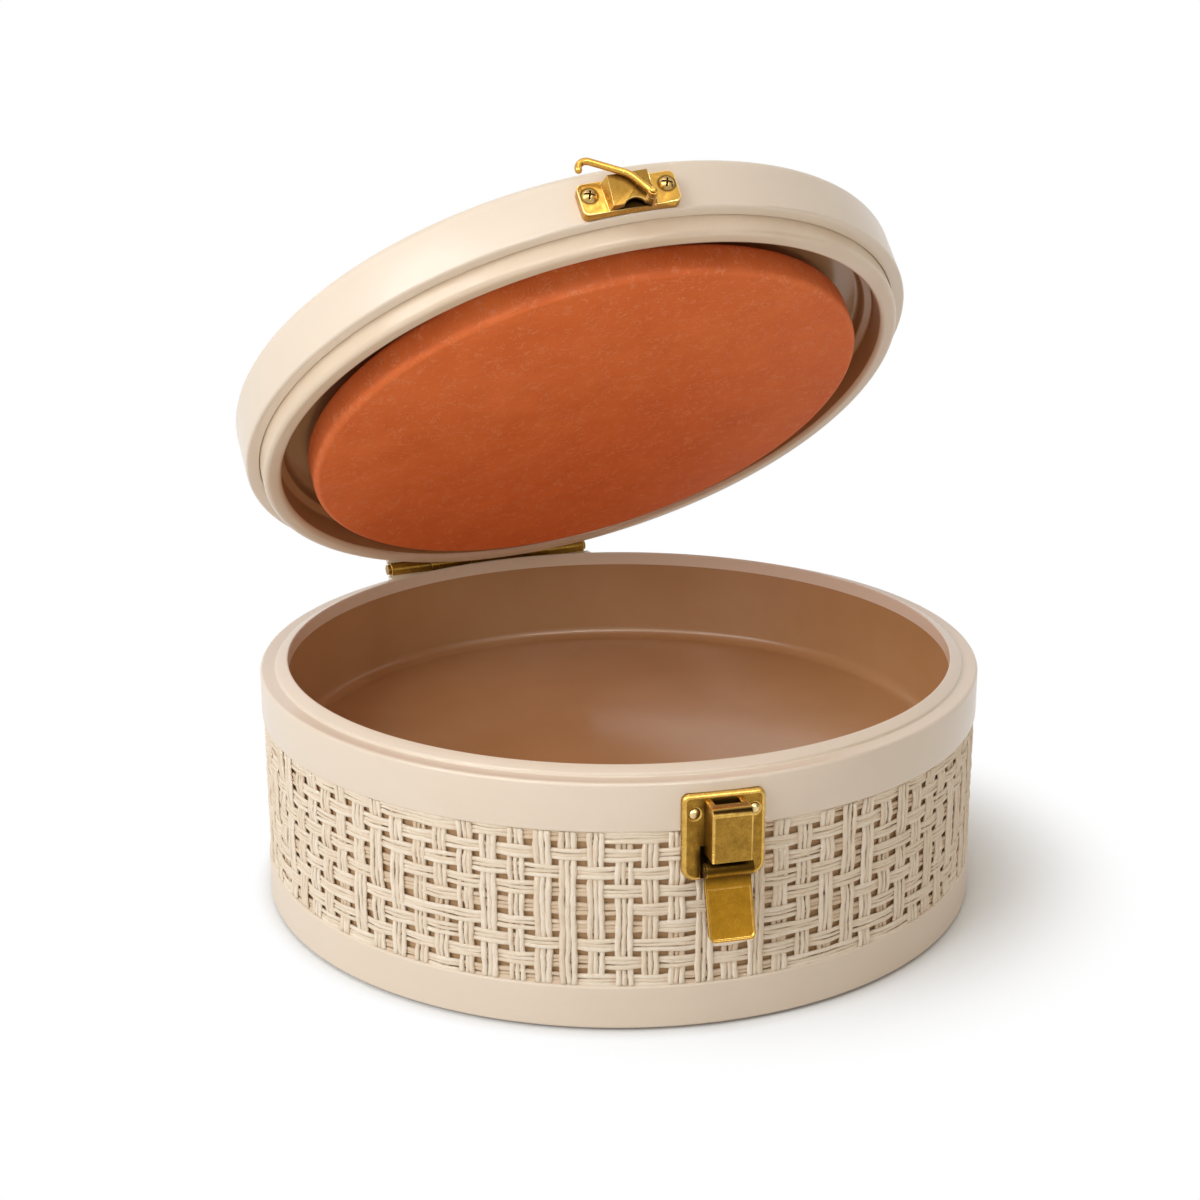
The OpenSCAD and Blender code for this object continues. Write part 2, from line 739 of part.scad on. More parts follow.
module disc_spacer() {
    color(steel) lid_pose() difference() {
        translate([0, 0, disc_back]) cylinder(r = spacer_r, h = ceiling_z - disc_back);
        translate([0, 0, disc_back - 1]) cylinder(r = stud_r + pin_clear, h = ceiling_z - disc_back + 2);
    }
}

module disc_stud() {
    color(steel) lid_pose() translate([0, 0, disc_back - stud_depth])
        cylinder(r = stud_r, h = nut_z + nut_h - disc_back + stud_depth);
}

module disc_washer() {
    color(steel) lid_pose() difference() {
        translate([0, 0, liner_back]) cylinder(r = nut_r + 1.5, h = washer_t);
        translate([0, 0, liner_back - 1]) cylinder(r = stud_r + slip, h = washer_t + 2);
    }
}

module disc_nut() {
    color(steel) lid_pose() difference() {
        translate([0, 0, nut_z]) cylinder(r = nut_r, h = nut_h, $fn = 6);
        translate([0, 0, nut_z - 1]) cylinder(r = stud_r + pin_clear, h = nut_h + 2);
    }
}

module catch_screw_places() {
    for (x = [-catch_screw_x, catch_screw_x]) translate([x, catch_back, catch_screw_z]) children();
}

// The catch plate, its hollow hood with an arched mouth below, and a boss for the hook's pivot
module catch_plate() {
    color(brass) lid_pose() at_latch() difference() {
        union() {
            translate([-catch_w / 2, catch_back, catch_z]) rotate([90, 0, 0]) linear_extrude(catch_t)
                rounded_square(catch_w, catch_h, 2.2);
            hood();
            translate([hook_x, catch_front + 0.1, hook_z]) rod_out(eye_r, catch_front + 0.1 - hood_front);
        }
        translate([0, 0, catch_z - 1]) linear_extrude(hood_top - catch_z + 1 - hood_wall) hood_hollow();
        translate([0, catch_front - 0.3, catch_z - 1]) rotate([90, 0, 0]) linear_extrude(hood_w) hood_mouth();
        translate([hook_x, hood_front - 1, hook_z]) rod_in(hook_pin_r + pin_clear, hood_wall + 3);
        catch_screw_places() translate([0, -catch_t - 1, 0]) rod_in(catch_shank_r + pin_clear, catch_t + 2);
    }
}

// A wedge that stands out most at its top, with sides that lean in towards its front
module hood() {
    lean = 1.6;
    root = catch_front + 0.2;
    intersection() {
        translate([-hood_w, 0, 0]) rotate([90, 0, 90]) linear_extrude(2 * hood_w) polygon([
            [root, catch_z + 0.2], [root, hood_top], [hood_front, hood_top], [hood_low, catch_z + 0.2]]);
        translate([0, 0, catch_z]) linear_extrude(catch_h) polygon([
            [-hood_w / 2, root], [hood_w / 2, root],
            [hood_w / 2 - lean, hood_front], [lean - hood_w / 2, hood_front]]);
    }
}

// Front view of the hood's mouth, from 1 mm below the plate
module hood_mouth() {
    half = hood_w / 4;
    rise = 3;
    big = (half * half + rise * rise) / (2 * rise);
    intersection() {
        translate([0, rise - big]) circle(r = big);
        translate([-half, 0]) square([2 * half, rise]);
    }
}

// Plan of the hood's hollow: an arch with its crown at the front
module hood_hollow() {
    half = hood_w / 2 - hood_wall - 1.6;
    rise = hood_lip - hood_wall;
    big = (half * half + rise * rise) / (2 * rise);
    intersection() {
        translate([0, hood_low + hood_wall + big]) circle(r = big);
        translate([-half, hood_low]) square([2 * half, hood_lip]);
    }
}

module catch_screws() {
    slot_t = 0.7;
    color(brass) lid_pose() at_latch() catch_screw_places() {
        translate([0, -catch_t, 0]) difference() {
            dome(catch_head_r, 1.5);
            for (a = [0, 90]) rotate([0, a + 20, 0])
                translate([-catch_head_r * 0.7, -3, -slot_t / 2]) cube([catch_head_r * 1.4, 2.3, slot_t]);
        }
        translate([0, -catch_t, 0]) rod_in(catch_shank_r, catch_t + catch_shank_l);
    }
}

// Sweeps the rod along an arc about [x, z] in the hook's plane, from angle a to b
module rod_bend(centre, r, a, b) {
    translate([centre[0], 0, centre[1]]) rotate([90, 0, 0]) rotate([0, 0, a])
        rotate_extrude(angle = b - a) translate([r, 0]) circle(r = rod_r, $fn = 32);
}

// A straight stretch of rod from a point, at an angle in the hook's plane. It is a little
// thinner than the bends and reaches into them at both ends.
module rod_run(from, angle, l) {
    thin = 0.02;
    lap = 0.2;
    translate([from[0], 0, from[1]]) rotate([0, -angle, 0]) rotate([0, 90, 0])
        translate([0, 0, -lap]) cylinder(r = rod_r - thin, h = l + 2 * lap);
}

module catch_hook() {
    tip = hook_path_end() + curl_r * [cos(180), sin(180)];
    eye_t = 2 * rod_r - 0.4;
    color(brass) lid_pose() at_latch() translate([hook_x, hook_y, hook_z]) difference() {
        union() {
            translate([0, eye_t / 2, 0]) rod_out(eye_r, eye_t);
            rod_run([0, 0], hook_lean, hook_shank);
            rod_bend(hook_bend_centre(), bend_r, hook_lean - 90, bend_to - 90);
            rod_run(hook_bend_end(), bend_to, hook_reach);
            rod_bend(hook_path_end(), curl_r, bend_to - 90, 180);
            translate([tip[0], 0, tip[1]]) sphere(r = rod_r - 0.03);
        }
        translate([0, rod_r + 1, 0]) rod_out(hook_pin_r + pin_clear, 2 * rod_r + 2);
    }
}

module hook_rivet() {
    color(brass) lid_pose() at_latch() translate([hook_x, hook_y - rod_r - run_gap, hook_z]) {
        dome(eye_r * 0.75, 0.5);
        rod_in(hook_pin_r, 2 * rod_r + 2 * run_gap + hood_wall);
    }
}

module base_screws() {
    color(steel) base_screw_places() {
        translate([0, 0, foot_gap]) cylinder(r = base_head_r, h = base_head_h);
        translate([0, 0, foot_gap]) cylinder(r = base_shank_r, h = cover_t + base_shank_l);
    }
}

outer_shell();
woven_band();
rim_ring();
inner_liner();
wall_insulation();
base_insulation();
base_cover();
base_screws();
base_pad();
latch_plate();
latch_housing();
latch_rivets();
latch_lever();
lever_pin();
lever_spring();
hinge_body_leaf();
hinge_pin();
hinge_body_screws();
hinge_lid_leaf();
hinge_lid_screws();
lid_shell();
lid_liner();
lid_insulation();
terracotta_disc();
disc_spacer();
disc_stud();
disc_washer();
disc_nut();
catch_plate();
catch_screws();
catch_hook();
hook_rivet();
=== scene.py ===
import json
import math

import bmesh
import bpy
import numpy as np
from mathutils import Matrix, Vector

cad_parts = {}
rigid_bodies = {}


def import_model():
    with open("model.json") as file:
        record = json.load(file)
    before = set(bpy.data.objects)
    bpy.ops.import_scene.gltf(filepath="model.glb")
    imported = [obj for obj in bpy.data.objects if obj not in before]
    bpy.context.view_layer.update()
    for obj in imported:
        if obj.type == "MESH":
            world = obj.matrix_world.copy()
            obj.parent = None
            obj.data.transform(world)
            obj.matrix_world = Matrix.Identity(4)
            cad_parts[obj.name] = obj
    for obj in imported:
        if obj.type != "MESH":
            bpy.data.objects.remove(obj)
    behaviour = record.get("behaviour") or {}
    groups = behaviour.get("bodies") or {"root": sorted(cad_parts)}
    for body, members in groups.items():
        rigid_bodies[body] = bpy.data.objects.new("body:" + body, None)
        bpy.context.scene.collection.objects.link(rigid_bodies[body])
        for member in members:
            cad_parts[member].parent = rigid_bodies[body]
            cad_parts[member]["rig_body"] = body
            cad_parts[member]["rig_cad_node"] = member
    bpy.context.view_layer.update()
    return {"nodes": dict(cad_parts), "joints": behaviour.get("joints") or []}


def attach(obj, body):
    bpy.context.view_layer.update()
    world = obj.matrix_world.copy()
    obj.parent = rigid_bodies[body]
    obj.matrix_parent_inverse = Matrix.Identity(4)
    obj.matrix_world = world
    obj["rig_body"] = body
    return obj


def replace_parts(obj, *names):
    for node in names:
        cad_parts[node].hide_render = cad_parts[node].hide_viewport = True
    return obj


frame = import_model()
nodes = frame["nodes"]
joints = {j["name"]: j for j in frame["joints"]}

# Sizes are in millimetres, as in the part's source; MM brings them to metres.
MM = 0.001
SLIP = 0.1

# Body
BODY_R = 132.0
FOOT_GAP = 1.0
FOOT_CHAMFER = 0.5
LOWER_BAND_TOP = 16.0
LOWER_BAND_ROUND = 1.0
UPPER_BAND_FOOT = 69.5
UPPER_BAND_ROUND = 1.2
SEAT_Z = 74.0
SHOULDER_Z = 86.5
SHELL_R = 129.7
SHELL_IN = SHELL_R - 2.0
LIP_OUT = 126.3
LIP_IN = 121.8
LIP_EDGE_Z = SHOULDER_Z + 1.0
LIP_TOP = 89.5
LIP_ROUND = 0.5
LIP_TOP_ROUND = 0.9
LINER_WALL = 1.5
LINER_R = LIP_IN + LINER_WALL
LINER_TOP = 84.0
FLOOR_Z = 52.0
FLOOR_ROUND = 6.0

# Lid, in its closed place
SWING_GAP = 0.4
LID_Z = LIP_TOP + 0.3
LID_H = 19.5
LID_TOP = LID_Z + LID_H
LID_R = 126.4
LID_IN = LIP_IN - SWING_GAP / 2
LID_SKIN = 3.0
LID_ROUND = 3.2
LID_FOOT_ROUND = 1.0
CROWN_R = LID_R - 3.0
CROWN_H = 2.5
CROWN_RINGS = (0.97, 0.9, 0.8, 0.65, 0.5, 0.35, 0.2, 0.1)
SPIGOT_R = LIP_IN - SWING_GAP
SPIGOT_IN = SPIGOT_R - 6.6
SPIGOT_Z = LID_Z - 7.0
SPIGOT_ROUND = 2.0
HOLLOW_H = 9.2
CEILING_Z = LID_Z + HOLLOW_H
CEILING_T = 2.0
STEP_Z = LID_Z + HOLLOW_H / 3
STEP_W = 3.0
STEP_FALL = 1.2
STEP_ROUND = 0.6
STUD_HOLE_R = 3.1
DISC_R = 104.0
DISC_Z = 79.0
DISC_T = 12.0
DISC_ROUND = 2.6
DISC_BACK_ROUND = 2.0

# Hinge pads on rim ring and lid
HINGE_FLAT = LIP_OUT + 1.4
PAD_HALF = 45.5
PAD_DEEP = 66.0
LID_PAD_H = LID_H * 2 / 3

# Latch and catch, in the latch's frame, where -Y points straight out of the wall
LATCH_TURN = math.radians(11.0)
PLATE_W = 27.7
PLATE_TOP = SHOULDER_Z - 4.0
PLATE_FOOT = PLATE_TOP - 29.5
PLATE_BACK = math.sqrt(BODY_R ** 2 - (PLATE_W / 2) ** 2)
PLATE_FRONT = PLATE_BACK + 2.2
NOTCH_HALF = 7.9
HOUSING_HALF = 6.75
HOUSING_TOP = PLATE_TOP - 2.0
HOUSING_FOOT = HOUSING_TOP - 17.8
HOUSING_FRONT = PLATE_FRONT + 9.5
LEVER_R = 2.5
LEVER_Y = -PLATE_FRONT - 5.0
LEVER_Z = HOUSING_FOOT - 1.6 - LEVER_R
RIVET_X = 9.83
RIVET_Z = PLATE_TOP - 6.5
RIVETS = [(x, -PLATE_FRONT, RIVET_Z) for x in (-RIVET_X, RIVET_X)]
RIVET_RING = 1.9
CATCH_W = 33.0
CATCH_H = 11.8
CATCH_Z = LID_Z + 0.8
CATCH_CORNER = 2.3
CATCH_BACK = math.sqrt(LID_R ** 2 - (CATCH_W / 2) ** 2)
CATCH_FRONT = CATCH_BACK + 4.0
HOOD_LOW = CATCH_FRONT + 3.0
HOOD_HOLLOW = 5.8
SCREW_X = 13.0
SCREW_Z = CATCH_Z + CATCH_H / 2 + 1.0
SCREWS = [(x, -CATCH_FRONT, SCREW_Z) for x in (-SCREW_X, SCREW_X)]
SCREW_RING = 2.8
SCREW_SLOT_R = 1.95
SCREW_SLOT_Z = 0.75

# Eased edges: from what angle on, and how wide they are
EASED_ANGLE = math.radians(32.0)
PLATE_BORDER = 1.4
PLATE_EDGE = 0.12
HOUSING_SIDE = 0.8
HOUSING_SEAT = 0.1
HOUSING_RIM = 0.4
HOUSING_EDGE = 0.08
CATCH_OUTLINE = 0.4
CATCH_EDGE = 0.15
CATCH_FOOT = 0.08

# Modelling: sides of a turned piece, the ring that flat round faces are drawn in to before they close at
# the axis, how near a point lies to a ring that it is on (in metres), and to a face that it is on
TURN_STEPS = 288
MID_R = 60.0
ON_RING = 2e-6
ON_FACE = 0.05

# Weave: bundles of strands, upright in columns and level in rows
COLUMNS = 94
ROWS = 9
FIRST_ROW_Z = LOWER_BAND_TOP + 1.7
LAST_ROW_Z = UPPER_BAND_FOOT - 1.6
WEAVE_MEAN = 130.7
WEAVE_LIFT = 0.4
WEAVE_SEED = 7
# How often an upright goes under where it should go over, and over where it should go under
MISSED_OVER = 0.1
EXTRA_OVER = 0.27
STRAND_SIDES = 6
PER_CROSSING = 5
UPRIGHT_THICK = 0.54
LEVEL_THICK = 0.5
# Each strand of a bundle: its place across the bundle, its half width, and how far it lies behind
UPRIGHT_STRANDS = ((-1.86, 1.0, 0.0), (0.0, 0.88, 0.16), (1.86, 1.0, 0.0))
LEVEL_STRANDS = ((-1.42, 0.84, 0.0), (0.0, 0.7, 0.14), (1.42, 0.84, 0.0))
# Moves each strand to its own stretch of the fibres' noise
TONE_SHIFT = 97.0

# Stage, in metres: the floor is white but for a soft shadow beside the part and a close one under it.
# Each shadow fades from its first to its second distance.
FLOOR_SIZE = 12.0
SHADOW_PLACE = (0.036, -0.017, 0.0)
SHADOW_FADE = (0.085, 0.16)
CONTACT_PLACE = (0.0, 0.0, 0.0)
CONTACT_FADE = (0.1305, 0.139)
WHITE = (1.0, 1.0, 1.0, 1.0)
FLOOR_BOUNCE = (0.78, 0.78, 0.78, 1.0)
FLOOR_SEEN = ((0.9, 0.94, 0.98, 1.0), (0.92, 0.96, 1.0, 1.0))
FILL_COLOUR = (1.0, 0.885, 0.76, 1.0)
FILL_STRENGTH = 0.5
CARD_DARK = (0.012, 0.01, 0.008, 1.0)

# Camera, found from the photograph's 1200 by 1200 frame
FRAME_PX = 1200.0
FOCAL_PX = 2096.17
PRINCIPAL_PX = (629.39, 590.76)
SENSOR = 36.0
VIEW_AZIMUTH = math.radians(-25.71)
VIEW_ELEVATION = math.radians(16.99)
VIEW_DISTANCE = 806.56
VIEW_OFFSET = (3.83, 104.51)


# Shader maths

class Value:
    """A socket that takes part in Python arithmetic."""

    def __init__(self, owner, out):
        self.owner, self.out = owner, out

    def _math(self, operation, first, second):
        return self.owner.add("ShaderNodeMath", {"operation": operation}, {0: first, 1: second})

    def __add__(self, other):
        return self._math("ADD", self, other)

    def __sub__(self, other):
        return self._math("SUBTRACT", self, other)

    def __mul__(self, other):
        return self._math("MULTIPLY", self, other)

    def __gt__(self, other):
        return self._math("GREATER_THAN", self, other)

    def __radd__(self, other):
        return self._math("ADD", other, self)

    def __rsub__(self, other):
        return self._math("SUBTRACT", other, self)


class Nodes:
    """A node tree that takes constants and Values alike."""

    def __init__(self, tree):
        self.tree = tree

    def add(self, kind, settings=None, inputs=None, out=0):
        node = self.tree.nodes.new(kind)
        for key, value in (settings or {}).items():
            setattr(node, key, value)
        for key, value in (inputs or {}).items():
            self.feed(node.inputs[key], value)
        return Value(self, node.outputs[out])

    def feed(self, socket, value):
        if isinstance(value, Value):
            self.tree.links.new(value.out, socket)
        else:
            socket.default_value = value

    def ray(self, kind):
        return self.add("ShaderNodeLightPath", out="Is %s Ray" % kind)

    def seen(self):
        """One where a surface is seen, straight, mirrored or through something, and nought for its light."""
        rays = self.ray("Camera") + self.ray("Glossy") + self.ray("Transmission")
        return self.add("ShaderNodeMath", {"operation": "MINIMUM"}, {0: rays, 1: 1.0})


class Finish(Nodes):
    """A material and the nodes that make it. Noise scales are per metre."""

    def __init__(self, name, **constants):
        self.material = bpy.data.materials.new(name)
        self.material.use_nodes = True
        super().__init__(self.material.node_tree)
        self.shader = self.tree.nodes["Principled BSDF"]
        self.set(**constants)

    def set(self, **inputs):
        for socket, value in inputs.items():
            self.feed(self.shader.inputs[socket.replace("_", " ")], value)

    def place(self, scale=(1.0, 1.0, 1.0)):
        """Object coordinates, stretched by scale."""
        spot = self.add("ShaderNodeTexCoord", out="Object")
        return self.add("ShaderNodeMapping", {}, {"Vector": spot, "Scale": scale})

    def away(self, where, spot):
        """The distance from a spot."""
        return self.add("ShaderNodeVectorMath", {"operation": "DISTANCE"}, {0: where, 1: spot}, out="Value")

    def attribute(self, name):
        return self.add("ShaderNodeAttribute", {"attribute_name": name}, out="Fac")

    def noise(self, where, scale, detail=3.0, rough=0.5, twist=0.0):
        return self.add("ShaderNodeTexNoise", {},
                        {"Vector": where, "Scale": scale, "Detail": detail,
                         "Roughness": rough, "Distortion": twist}, out="Fac")

    def spread(self, value, low, high, curve="LINEAR"):
        """A value brought from low..high to 0..1 and held there."""
        return self.add("ShaderNodeMapRange", {"interpolation_type": curve, "clamp": True},
                        {"Value": value, "From Min": low, "From Max": high})

    def blend(self, factor, first, second):
        """A colour between two others."""
        return self.add("ShaderNodeMix", {"data_type": "RGBA"}, {0: factor, 6: first, 7: second}, out=2)

    def bump(self, height, strength, depth):
        return self.add("ShaderNodeBump", {},
                        {"Height": height, "Strength": strength, "Distance": depth}, out="Normal")


def rgb(r, g, b):
    """A colour given in the 0 to 255 steps of a screen, made linear."""
    def linear(c):
        c /= 255.0
        return c / 12.92 if c <= 0.04045 else ((c + 0.055) / 1.055) ** 2.4
    return (linear(r), linear(g), linear(b), 1.0)


# Finishes

CREAM = rgb(233, 220, 203)
CREAM_SHADE = rgb(231, 217, 199)
BACKING = rgb(198, 164, 124)
BACKING_SHADE = rgb(180, 144, 104)
TAN = rgb(190, 150, 106)
TAN_SHADE = rgb(180, 138, 92)
SPIGOT = rgb(230, 213, 190)
SPIGOT_SHADE = rgb(222, 202, 176)
# Painted shade and painted dark reflections: the dark brown that the brass is painted with in its shaded
# hollows and creases
PAINTED_SHADE_BROWN = rgb(44, 28, 8)


def moulded_skin(f, where, tone, shade):
    """Moulded plastic's cloudy colour, the cloud itself, and its fine, uneven skin."""
    cloud = f.noise(where, 28.0, 4.0)
    grain = f.noise(where, 2600.0, 2.0, 0.6)
    colour = f.blend(f.spread(cloud, 0.3, 0.75), shade, tone)
    return colour, cloud, f.bump(grain + f.noise(where, 220.0, 2.0) * 0.6, 0.05, 0.0002)


def moulded_plastic(name, tone, shade, rough):
    """Satin moulded plastic with a soft gloss over it."""
    f = Finish(name, Specular_IOR_Level=0.42, Coat_Roughness=0.16)
    colour, cloud, skin = moulded_skin(f, f.place(), tone, shade)
    f.set(Base_Color=colour,
          Roughness=rough + (cloud - 0.5) * 0.12,
          Coat_Weight=0.4 + cloud * 0.15,
          Normal=skin)
    return f.material


def shell_plastic():
    """The shell's plastic, brown and dull where it lies behind the weave."""
    f = Finish("shell_plastic", Specular_IOR_Level=0.42)
    where = f.place()
    colour, cloud, skin = moulded_skin(f, where, CREAM, CREAM_SHADE)
    height = f.add("ShaderNodeSeparateXYZ", {}, {0: where}, out="Z")
    behind = height > (LOWER_BAND_TOP + 0.2) * MM
    f.set(Base_Color=f.blend(behind, colour, f.blend(cloud, BACKING, BACKING_SHADE)),
          Roughness=0.45 + behind * 0.4 + (cloud - 0.5) * 0.12,
          Normal=skin)
    return f.material


def terracotta():
    """Unglazed fired clay: mottled, matt, with fine scratches and pores."""
    f = Finish("terracotta", Specular_IOR_Level=0.25)
    where = f.place()
    mottle = f.noise(where, 55.0, 6.0, 0.62)
    cloud = f.noise(where, 12.0, 3.0)
    grain = f.noise(where, 1500.0, 3.0, 0.7)
    swirl = f.noise(where, 330.0, 2.0, 0.5, 0.8)
    ridge = f.add("ShaderNodeMath", {"operation": "ABSOLUTE"}, {0: swirl - 0.5})
    strokes = (1.0 - f.spread(ridge, 0.0, 0.045)) * f.spread(f.noise(where, 240.0, 2.0), 0.44, 0.58)
    mixed = f.spread(mottle * 0.6 + cloud * 0.4, 0.34, 0.66)
    base = f.blend(mixed, rgb(222, 108, 54), rgb(238, 126, 68))
    speckled = f.blend(f.spread(grain, 0.6, 0.8), base, rgb(184, 82, 38))
    f.set(Base_Color=f.blend(strokes * 0.7, speckled, rgb(240, 152, 104)),
          Roughness=0.66 + (mottle - 0.5) * 0.2,
          Normal=f.bump(grain * 0.6 + mottle * 0.5 + strokes * 0.7, 0.3, 0.0004))
    return f.material


def antique_brass(name, bright, dull, rough, spots=(), ring=0.0, brush=0.08):
    """Brass with cloudy patina and short brush marks; painted shade and painted dark reflections darken it
    from a point attribute, and painted shade darkens a ring round each spot.
    """
    f = Finish(name, Metallic=1.0)
    where = f.place()
    patina = f.noise(where, 330.0, 5.0, 0.65)
    specks = f.noise(where, 1700.0, 3.0, 0.6)
    brushed = f.noise(f.place((1.0, 1.0, 0.12)), 2200.0, 2.0)
    worn = f.spread(patina * 0.55 + specks * 0.45, 0.36, 0.6)
    # painted shade and painted dark reflections, from the point attribute that the hardware is given
    dark = f.attribute("painted_shade")
    # painted shade in a ring round each rivet or screw head
    for spot in spots:
        near = 1.0 - f.spread(f.away(where, spot), ring * MM, (ring + 0.7) * MM)
        dark = f.add("ShaderNodeMath", {"operation": "MAXIMUM"}, {0: dark, 1: near * 0.85})
    f.set(Base_Color=f.blend(dark, f.blend(worn, dull, bright), PAINTED_SHADE_BROWN),
          Roughness=rough + (1.0 - worn) * 0.14 + dark * 0.12,
          Normal=f.bump(brushed * 0.6 + specks * 0.5, brush, 0.0002))
    return f.material


def plain_steel():
    """Zinc-plated steel of the hidden fasteners."""
    f = Finish("zinc_steel", Metallic=1.0)
    where = f.place()
    cloud = f.noise(where, 300.0, 4.0)
    f.set(Base_Color=f.blend(cloud, rgb(150, 150, 152), rgb(190, 190, 192)),
          Roughness=0.32 + cloud * 0.15,
          Normal=f.bump(f.noise(where, 2400.0, 2.0), 0.06, 0.0002))
    return f.material


def pad_rubber():
    """Dark, grainy rubber of the pad that the part stands on."""
    f = Finish("pad_rubber", Specular_IOR_Level=0.3)
    grain = f.noise(f.place(), 1400.0, 3.0)
    f.set(Base_Color=f.blend(grain, rgb(34, 31, 29), rgb(58, 54, 50)),
          Roughness=0.75 + grain * 0.15,
          Normal=f.bump(grain, 0.3, 0.0003))
    return f.material


def fibre_wadding():
    """Pale felted fibre of the insulation."""
    f = Finish("fibre_wadding", Specular_IOR_Level=0.15)
    fluff = f.noise(f.place(), 320.0, 6.0, 0.7, 0.8)
    f.set(Base_Color=f.blend(fluff, rgb(206, 200, 184), rgb(238, 234, 222)),
          Roughness=0.95,
          Normal=f.bump(fluff, 0.6, 0.001))
    return f.material


def raffia():
    """Dry straw-like strands: fibres run along them, each has its own tone, and painted shade darkens them
    where they pass behind others.
    """
    f = Finish("raffia", Specular_IOR_Level=0.25)
    run = f.add("ShaderNodeUVMap", {"uv_map": "along"})
    stretched = f.add("ShaderNodeMapping", {}, {"Vector": run, "Scale": (7.0, 0.35, 1.0)})
    fibre = f.noise(stretched, 1.0, 4.0, 0.65)
    patch = f.noise(f.place(), 260.0, 3.0)
    pale = f.blend(f.attribute("tone"), rgb(238, 224, 203), rgb(247, 237, 221))
    streaked = f.blend(f.spread(fibre, 0.52, 0.8) * 0.5, pale, rgb(206, 174, 134))
    dusty = f.blend(f.spread(patch, 0.55, 0.8) * 0.3, streaked, rgb(222, 198, 166))
    # painted shade: strands turn brown where they dip behind the crossing strands
    f.set(Base_Color=f.blend(f.spread(f.attribute("depth"), -0.5, 0.5), rgb(208, 178, 140), dusty),
          Roughness=0.62 + fibre * 0.2,
          Normal=f.bump(fibre, 0.55, 0.0003))
    return f.material


# Places on the latch and the catch

def lid_open():
    """What brings the lid from its closed place to the place it has at rest."""
    joint = joints["lid_hinge"]
    pivot = Matrix.Translation(joint["pos_m"])
    turn = Matrix.Rotation(math.radians(-joint["range_deg"][0]), 4, Vector(joint["axis"]))
    return pivot @ turn @ pivot.inverted()


def latch_place(body):
    """What brings a point of a body at rest to the latch's own frame, with the lid closed."""
    turn = Matrix.Rotation(LATCH_TURN, 4, "Z")
    return turn @ lid_open().inverted() if body in ("lid", "hook") else turn


def at_rest(body, points):
    """Points of the latch's frame, in millimetres, brought to where the body has them at rest."""
    back = latch_place(body).inverted()
    return [tuple(back @ (Vector(p) * MM)) for p in points]


cream = moulded_plastic("cream_plastic", CREAM, CREAM_SHADE, 0.45)
tan = moulded_plastic("tan_plastic", TAN, TAN_SHADE, 0.42)
spigot_cream = moulded_plastic("spigot_plastic", SPIGOT, SPIGOT_SHADE, 0.42)
shell_cream = shell_plastic()
clay = terracotta()
steel = plain_steel()
rubber = pad_rubber()
wadding = fibre_wadding()
straw = raffia()
brass = antique_brass("antique_brass", rgb(172, 130, 54), rgb(134, 100, 40), 0.27)
plate_brass = antique_brass("plate_brass", rgb(166, 124, 48), rgb(126, 94, 36), 0.27,
                            at_rest("base", RIVETS), RIVET_RING)
tongue_brass = antique_brass("tongue_brass", rgb(170, 122, 34), rgb(144, 102, 26), 0.3)
# painted highlight: lighter brass for the eased edges of the latch and the hinges
brass_edge_highlight = antique_brass("brass_edge_highlight", rgb(226, 184, 98), rgb(190, 146, 66), 0.2)
# painted highlight: the rivet heads are a pale brass all over
rivet_brass_highlight = antique_brass("rivet_brass_highlight", rgb(236, 212, 156), rgb(196, 168, 112), 0.2)
gold = antique_brass("golden_brass", rgb(214, 166, 78), rgb(188, 140, 60), 0.22, brush=0.02)
screw_brass = antique_brass("screw_brass", rgb(202, 168, 104), rgb(150, 116, 62), 0.22)
catch_gold = antique_brass("catch_brass", rgb(210, 162, 74), rgb(186, 138, 58), 0.24,
                           at_rest("lid", SCREWS), SCREW_RING, brush=0.02)
# painted highlight: pale gold for the eased edges of the catch, its screws and the hook
gold_edge_highlight = antique_brass("golden_edge_highlight", rgb(255, 228, 160), rgb(240, 200, 122), 0.18, brush=0.02)


# Modelling by hand: small tools

def deselect():
    if bpy.context.object and bpy.context.object.mode != "OBJECT":
        bpy.ops.object.mode_set(mode="OBJECT")
    bpy.ops.object.select_all(action="DESELECT")


def only(obj):
    deselect()
    obj.select_set(True)
    bpy.context.view_layer.objects.active = obj


def smooth(obj, angle=38.0):
    only(obj)
    bpy.ops.object.shade_smooth_by_angle(angle=math.radians(angle))


def settle(obj, name):
    """Names a new piece and puts its place and size into its mesh."""
    obj.name = obj.data.name = name
    bpy.ops.object.transform_apply(location=True, rotation=True, scale=True)
    return obj


def pick_ring(obj, radius, height, more=False):
    """Selects the edges of the ring at that radius and height, in edit mode, or adds them."""
    if not more:
        bpy.ops.mesh.select_all(action="DESELECT")
    mesh = bmesh.from_edit_mesh(obj.data)
    ring = {v for v in mesh.verts if abs(math.hypot(v.co.x, v.co.y) - radius * MM) < ON_RING
            and abs(v.co.z - height * MM) < ON_RING}
    for e in mesh.edges:
        if e.verts[0] in ring and e.verts[1] in ring:
            e.select = True
    bmesh.update_edit_mesh(obj.data)


def close_ring(obj, radius, height, rise):
    """Draws a ring in to one point on the axis."""
    pick_ring(obj, radius, height)
    bpy.ops.mesh.extrude_edges_move(TRANSFORM_OT_translate={"value": (0, 0, rise * MM)})
    bpy.ops.mesh.merge(type="CENTER")


def snap_rings(obj, rings):
    """Puts each vertex back on the exact ring that it was drawn out to."""
    mesh = bmesh.from_edit_mesh(obj.data)
    places = np.array([(r, z) for r, z, _ in rings]) * MM
    for v in mesh.verts:
        here = math.hypot(v.co.x, v.co.y)
        gap = np.hypot(places[:, 0] - here, places[:, 1] - v.co.z)
        best = int(gap.argmin())
        k = places[best, 0] / here
        v.co = (v.co.x * k, v.co.y * k, places[best, 1])
    bmesh.update_edit_mesh(obj.data)


